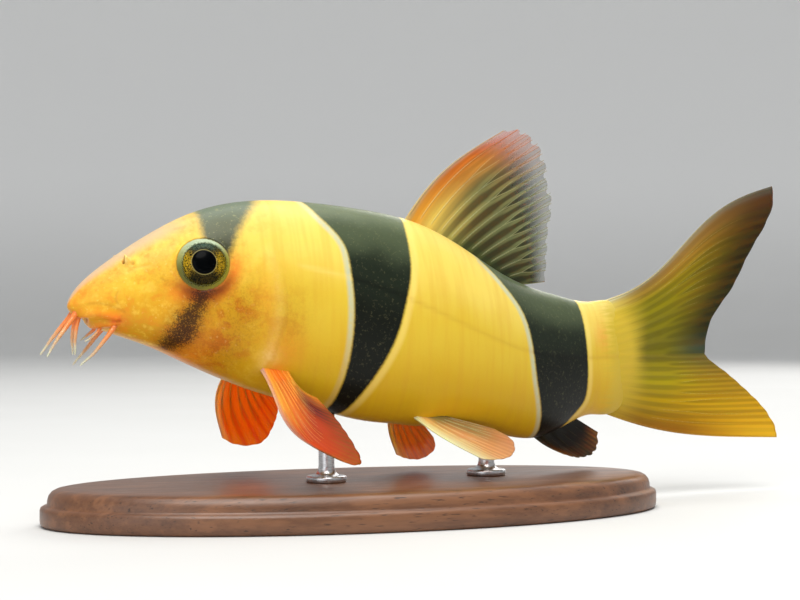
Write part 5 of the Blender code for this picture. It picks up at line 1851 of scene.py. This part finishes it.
# The stand's two rods: brushed steel pins, each turned in one piece with its round foot.
# Each foot is glued on the base, and each rod ends a little way inside the belly.
RODS = {"front": 36.0, "rear": 61.0}
ROD_SIDES = 64
ROD_RADIUS = 1.1
ROD_FOOT = 2.8
ROD_INTO_BELLY = 1.2
ROD_CHAMFER = 0.1
# Radius and height over the base: first up the round foot, then its neck.
ROD_PROFILE = (
    (2.55, 0.0), (2.72, 0.04), (ROD_FOOT, 0.16), (ROD_FOOT, 0.62), (2.74, 0.8), (2.55, 0.9),
    (2.1, 0.95), (1.75, 1.02), (1.5, 1.16), (1.3, 1.42), (1.16, 1.8), (ROD_RADIUS, 2.3),
)
BRUSH_STRETCH = (0.15, 0.15, 1.0)
BRUSH_GRAIN = (0.12, 3.0, 0.6)
BRUSH_TURN = (0.3, 0.7)
STEEL_TONES = ((178, 178, 180), (214, 214, 216))
STEEL_ROUGHNESS = (0.2, 0.8, 0.24, 0.4)
STEEL_RELIEF = (0.2, 0.02)


def steel_finish():
    """Bare steel with fine lines round it from the turning."""
    mix = Finish("brushed steel")
    brushed = mix.grain(mix.stretched(mix.place(), BRUSH_STRETCH), *BRUSH_GRAIN)
    return mix.surface({
        "Base Color": mix.blend(mix.turn(brushed, *BRUSH_TURN), *STEEL_TONES),
        "Roughness": mix.turn(brushed, *STEEL_ROUGHNESS),
        "Normal": mix.bump(brushed, *STEEL_RELIEF),
    }, {"Metallic": 1.0})


rod_finish = steel_finish()
for word, s in RODS.items():
    foot = placed(s, 0.0, 0.0)
    top = AXIS_HEIGHT + float(section(np.array(s))[1]) + ROD_INTO_BELLY
    rings = [(radius, radius, BASE_THICKNESS + height) for radius, height in ROD_PROFILE]
    rings.append((ROD_RADIUS, ROD_RADIUS, top - ROD_CHAMFER))
    rings.append((ROD_RADIUS - ROD_CHAMFER, ROD_RADIUS - ROD_CHAMFER, top))
    rod_mesh = stacked_rings("rod_" + word, rings, ROD_SIDES, foot[:2])
    rod = add_piece("rod_" + word, rod_mesh, rod_finish)
    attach(rod, "root")
    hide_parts("stand_rod_" + word)

# The studio: a floor of pale paper that curves up into an even wall all round.
# It is lit by four large soft lamps and a little light from the air, all nearly white.
FLOOR_RADIUS = 0.85
FLOOR_MIDDLE = 0.02
FLOOR_SIDES = 96
WALL_HEIGHT = 0.9
COVE_RADIUS = 0.35
COVE_STEPS = 12
PAPER_GRAIN = (60.0, 2.0)
PAPER_TONES = ((206, 206, 204), (212, 212, 211))
WALL_TONE = (238, 238, 237)
WALL_TURN = (0.0, 0.12)
PAPER_CONSTANTS = {"Roughness": 0.8}


def studio_floor():
    """A round floor with its cove and wall, seen from inside."""
    profile = [(FLOOR_MIDDLE, 0.0), (FLOOR_RADIUS, 0.0)]
    for k in range(1, COVE_STEPS + 1):
        turn = math.pi / 2 * k / COVE_STEPS
        outward, upward = COVE_RADIUS * math.sin(turn), COVE_RADIUS * (1 - math.cos(turn))
        profile.append((FLOOR_RADIUS + outward, upward))
    profile.append((FLOOR_RADIUS + COVE_RADIUS, WALL_HEIGHT))
    rings = [(radius / MM, radius / MM, height / MM) for radius, height in profile]
    data = stacked_rings("studio_floor", rings, FLOOR_SIDES, open_top=True)
    data.flip_normals()
    return data


def studio_finish():
    """Pale paper that is a little lighter up the wall."""
    mix = Finish("pale studio paper")
    colour = mix.blend(mix.grain(mix.place(), *PAPER_GRAIN), *PAPER_TONES)
    height = mix.node("ShaderNodeSeparateXYZ", {0: mix.place()}, "Z")
    colour = mix.lay(colour, mix.turn(height, *WALL_TURN), WALL_TONE)
    return mix.surface({"Base Color": colour}, PAPER_CONSTANTS)


floor = add_piece("studio_floor", studio_floor(), studio_finish())
# Place, size, power and colour of each lamp.
SOFT_LAMPS = {
    "key": ((-0.12, -0.30, 0.55), 0.4, 2.9, (1.0, 0.98, 0.94)),
    "fill": ((-0.5, -0.42, 0.16), 0.5, 0.8, (0.95, 0.98, 1.0)),
    "top": ((0.05, 0.06, 0.62), 0.5, 2.3, (1.0, 1.0, 0.98)),
    "rim": ((0.42, 0.4, 0.32), 0.4, 1.2, (1.0, 0.98, 0.95)),
}
FISH_MIDDLE = Vector((0.0, 0.0, 0.03))
AIR_LIGHT = {"Color": (0.92, 0.95, 1.0, 1.0), "Strength": 0.42}


def aimed(holder, spot, way):
    """Sets a lamp or camera at its spot, facing a way."""
    holder.location = spot
    holder.rotation_euler = way.to_track_quat("-Z", "Y").to_euler()
    bpy.context.scene.collection.objects.link(holder)


for name, (spot, size, power, colour) in SOFT_LAMPS.items():
    lamp = bpy.data.lights.new(name, "AREA")
    lamp.shape = "DISK"
    lamp.size = size
    lamp.energy = power
    lamp.color = colour
    holder = bpy.data.objects.new(name, lamp)
    holder.visible_camera = False
    aimed(holder, spot, FISH_MIDDLE - Vector(spot))
air = bpy.data.worlds.new("studio air")
air.use_nodes = True
connect(air.node_tree, air.node_tree.nodes["Background"], AIR_LIGHT)
bpy.context.scene.world = air
bpy.context.scene.view_settings.view_transform = "Standard"

# The camera: a long lens that looks level from the fish's left, a little from its front.
# It stands at the height of the fish's middle, so that the base shows as a thin oval.
CAMERA_AIM = Vector((0.0053, -0.0010, 0.030))
CAMERA_TURN = math.radians(-22)
CAMERA_DISTANCE = 0.280
LENS_LENGTH = 90
SENSOR_WIDTH = 36
NEAREST, FURTHEST = 0.01, 10
lens = bpy.data.cameras.new("studio camera")
lens.lens = LENS_LENGTH
lens.sensor_width = SENSOR_WIDTH
lens.clip_start, lens.clip_end = NEAREST, FURTHEST
camera = bpy.data.objects.new("studio camera", lens)
back_way = Vector((math.sin(CAMERA_TURN), -math.cos(CAMERA_TURN), 0.0))
aimed(camera, CAMERA_AIM + back_way * CAMERA_DISTANCE, -back_way)
bpy.context.scene.camera = camera
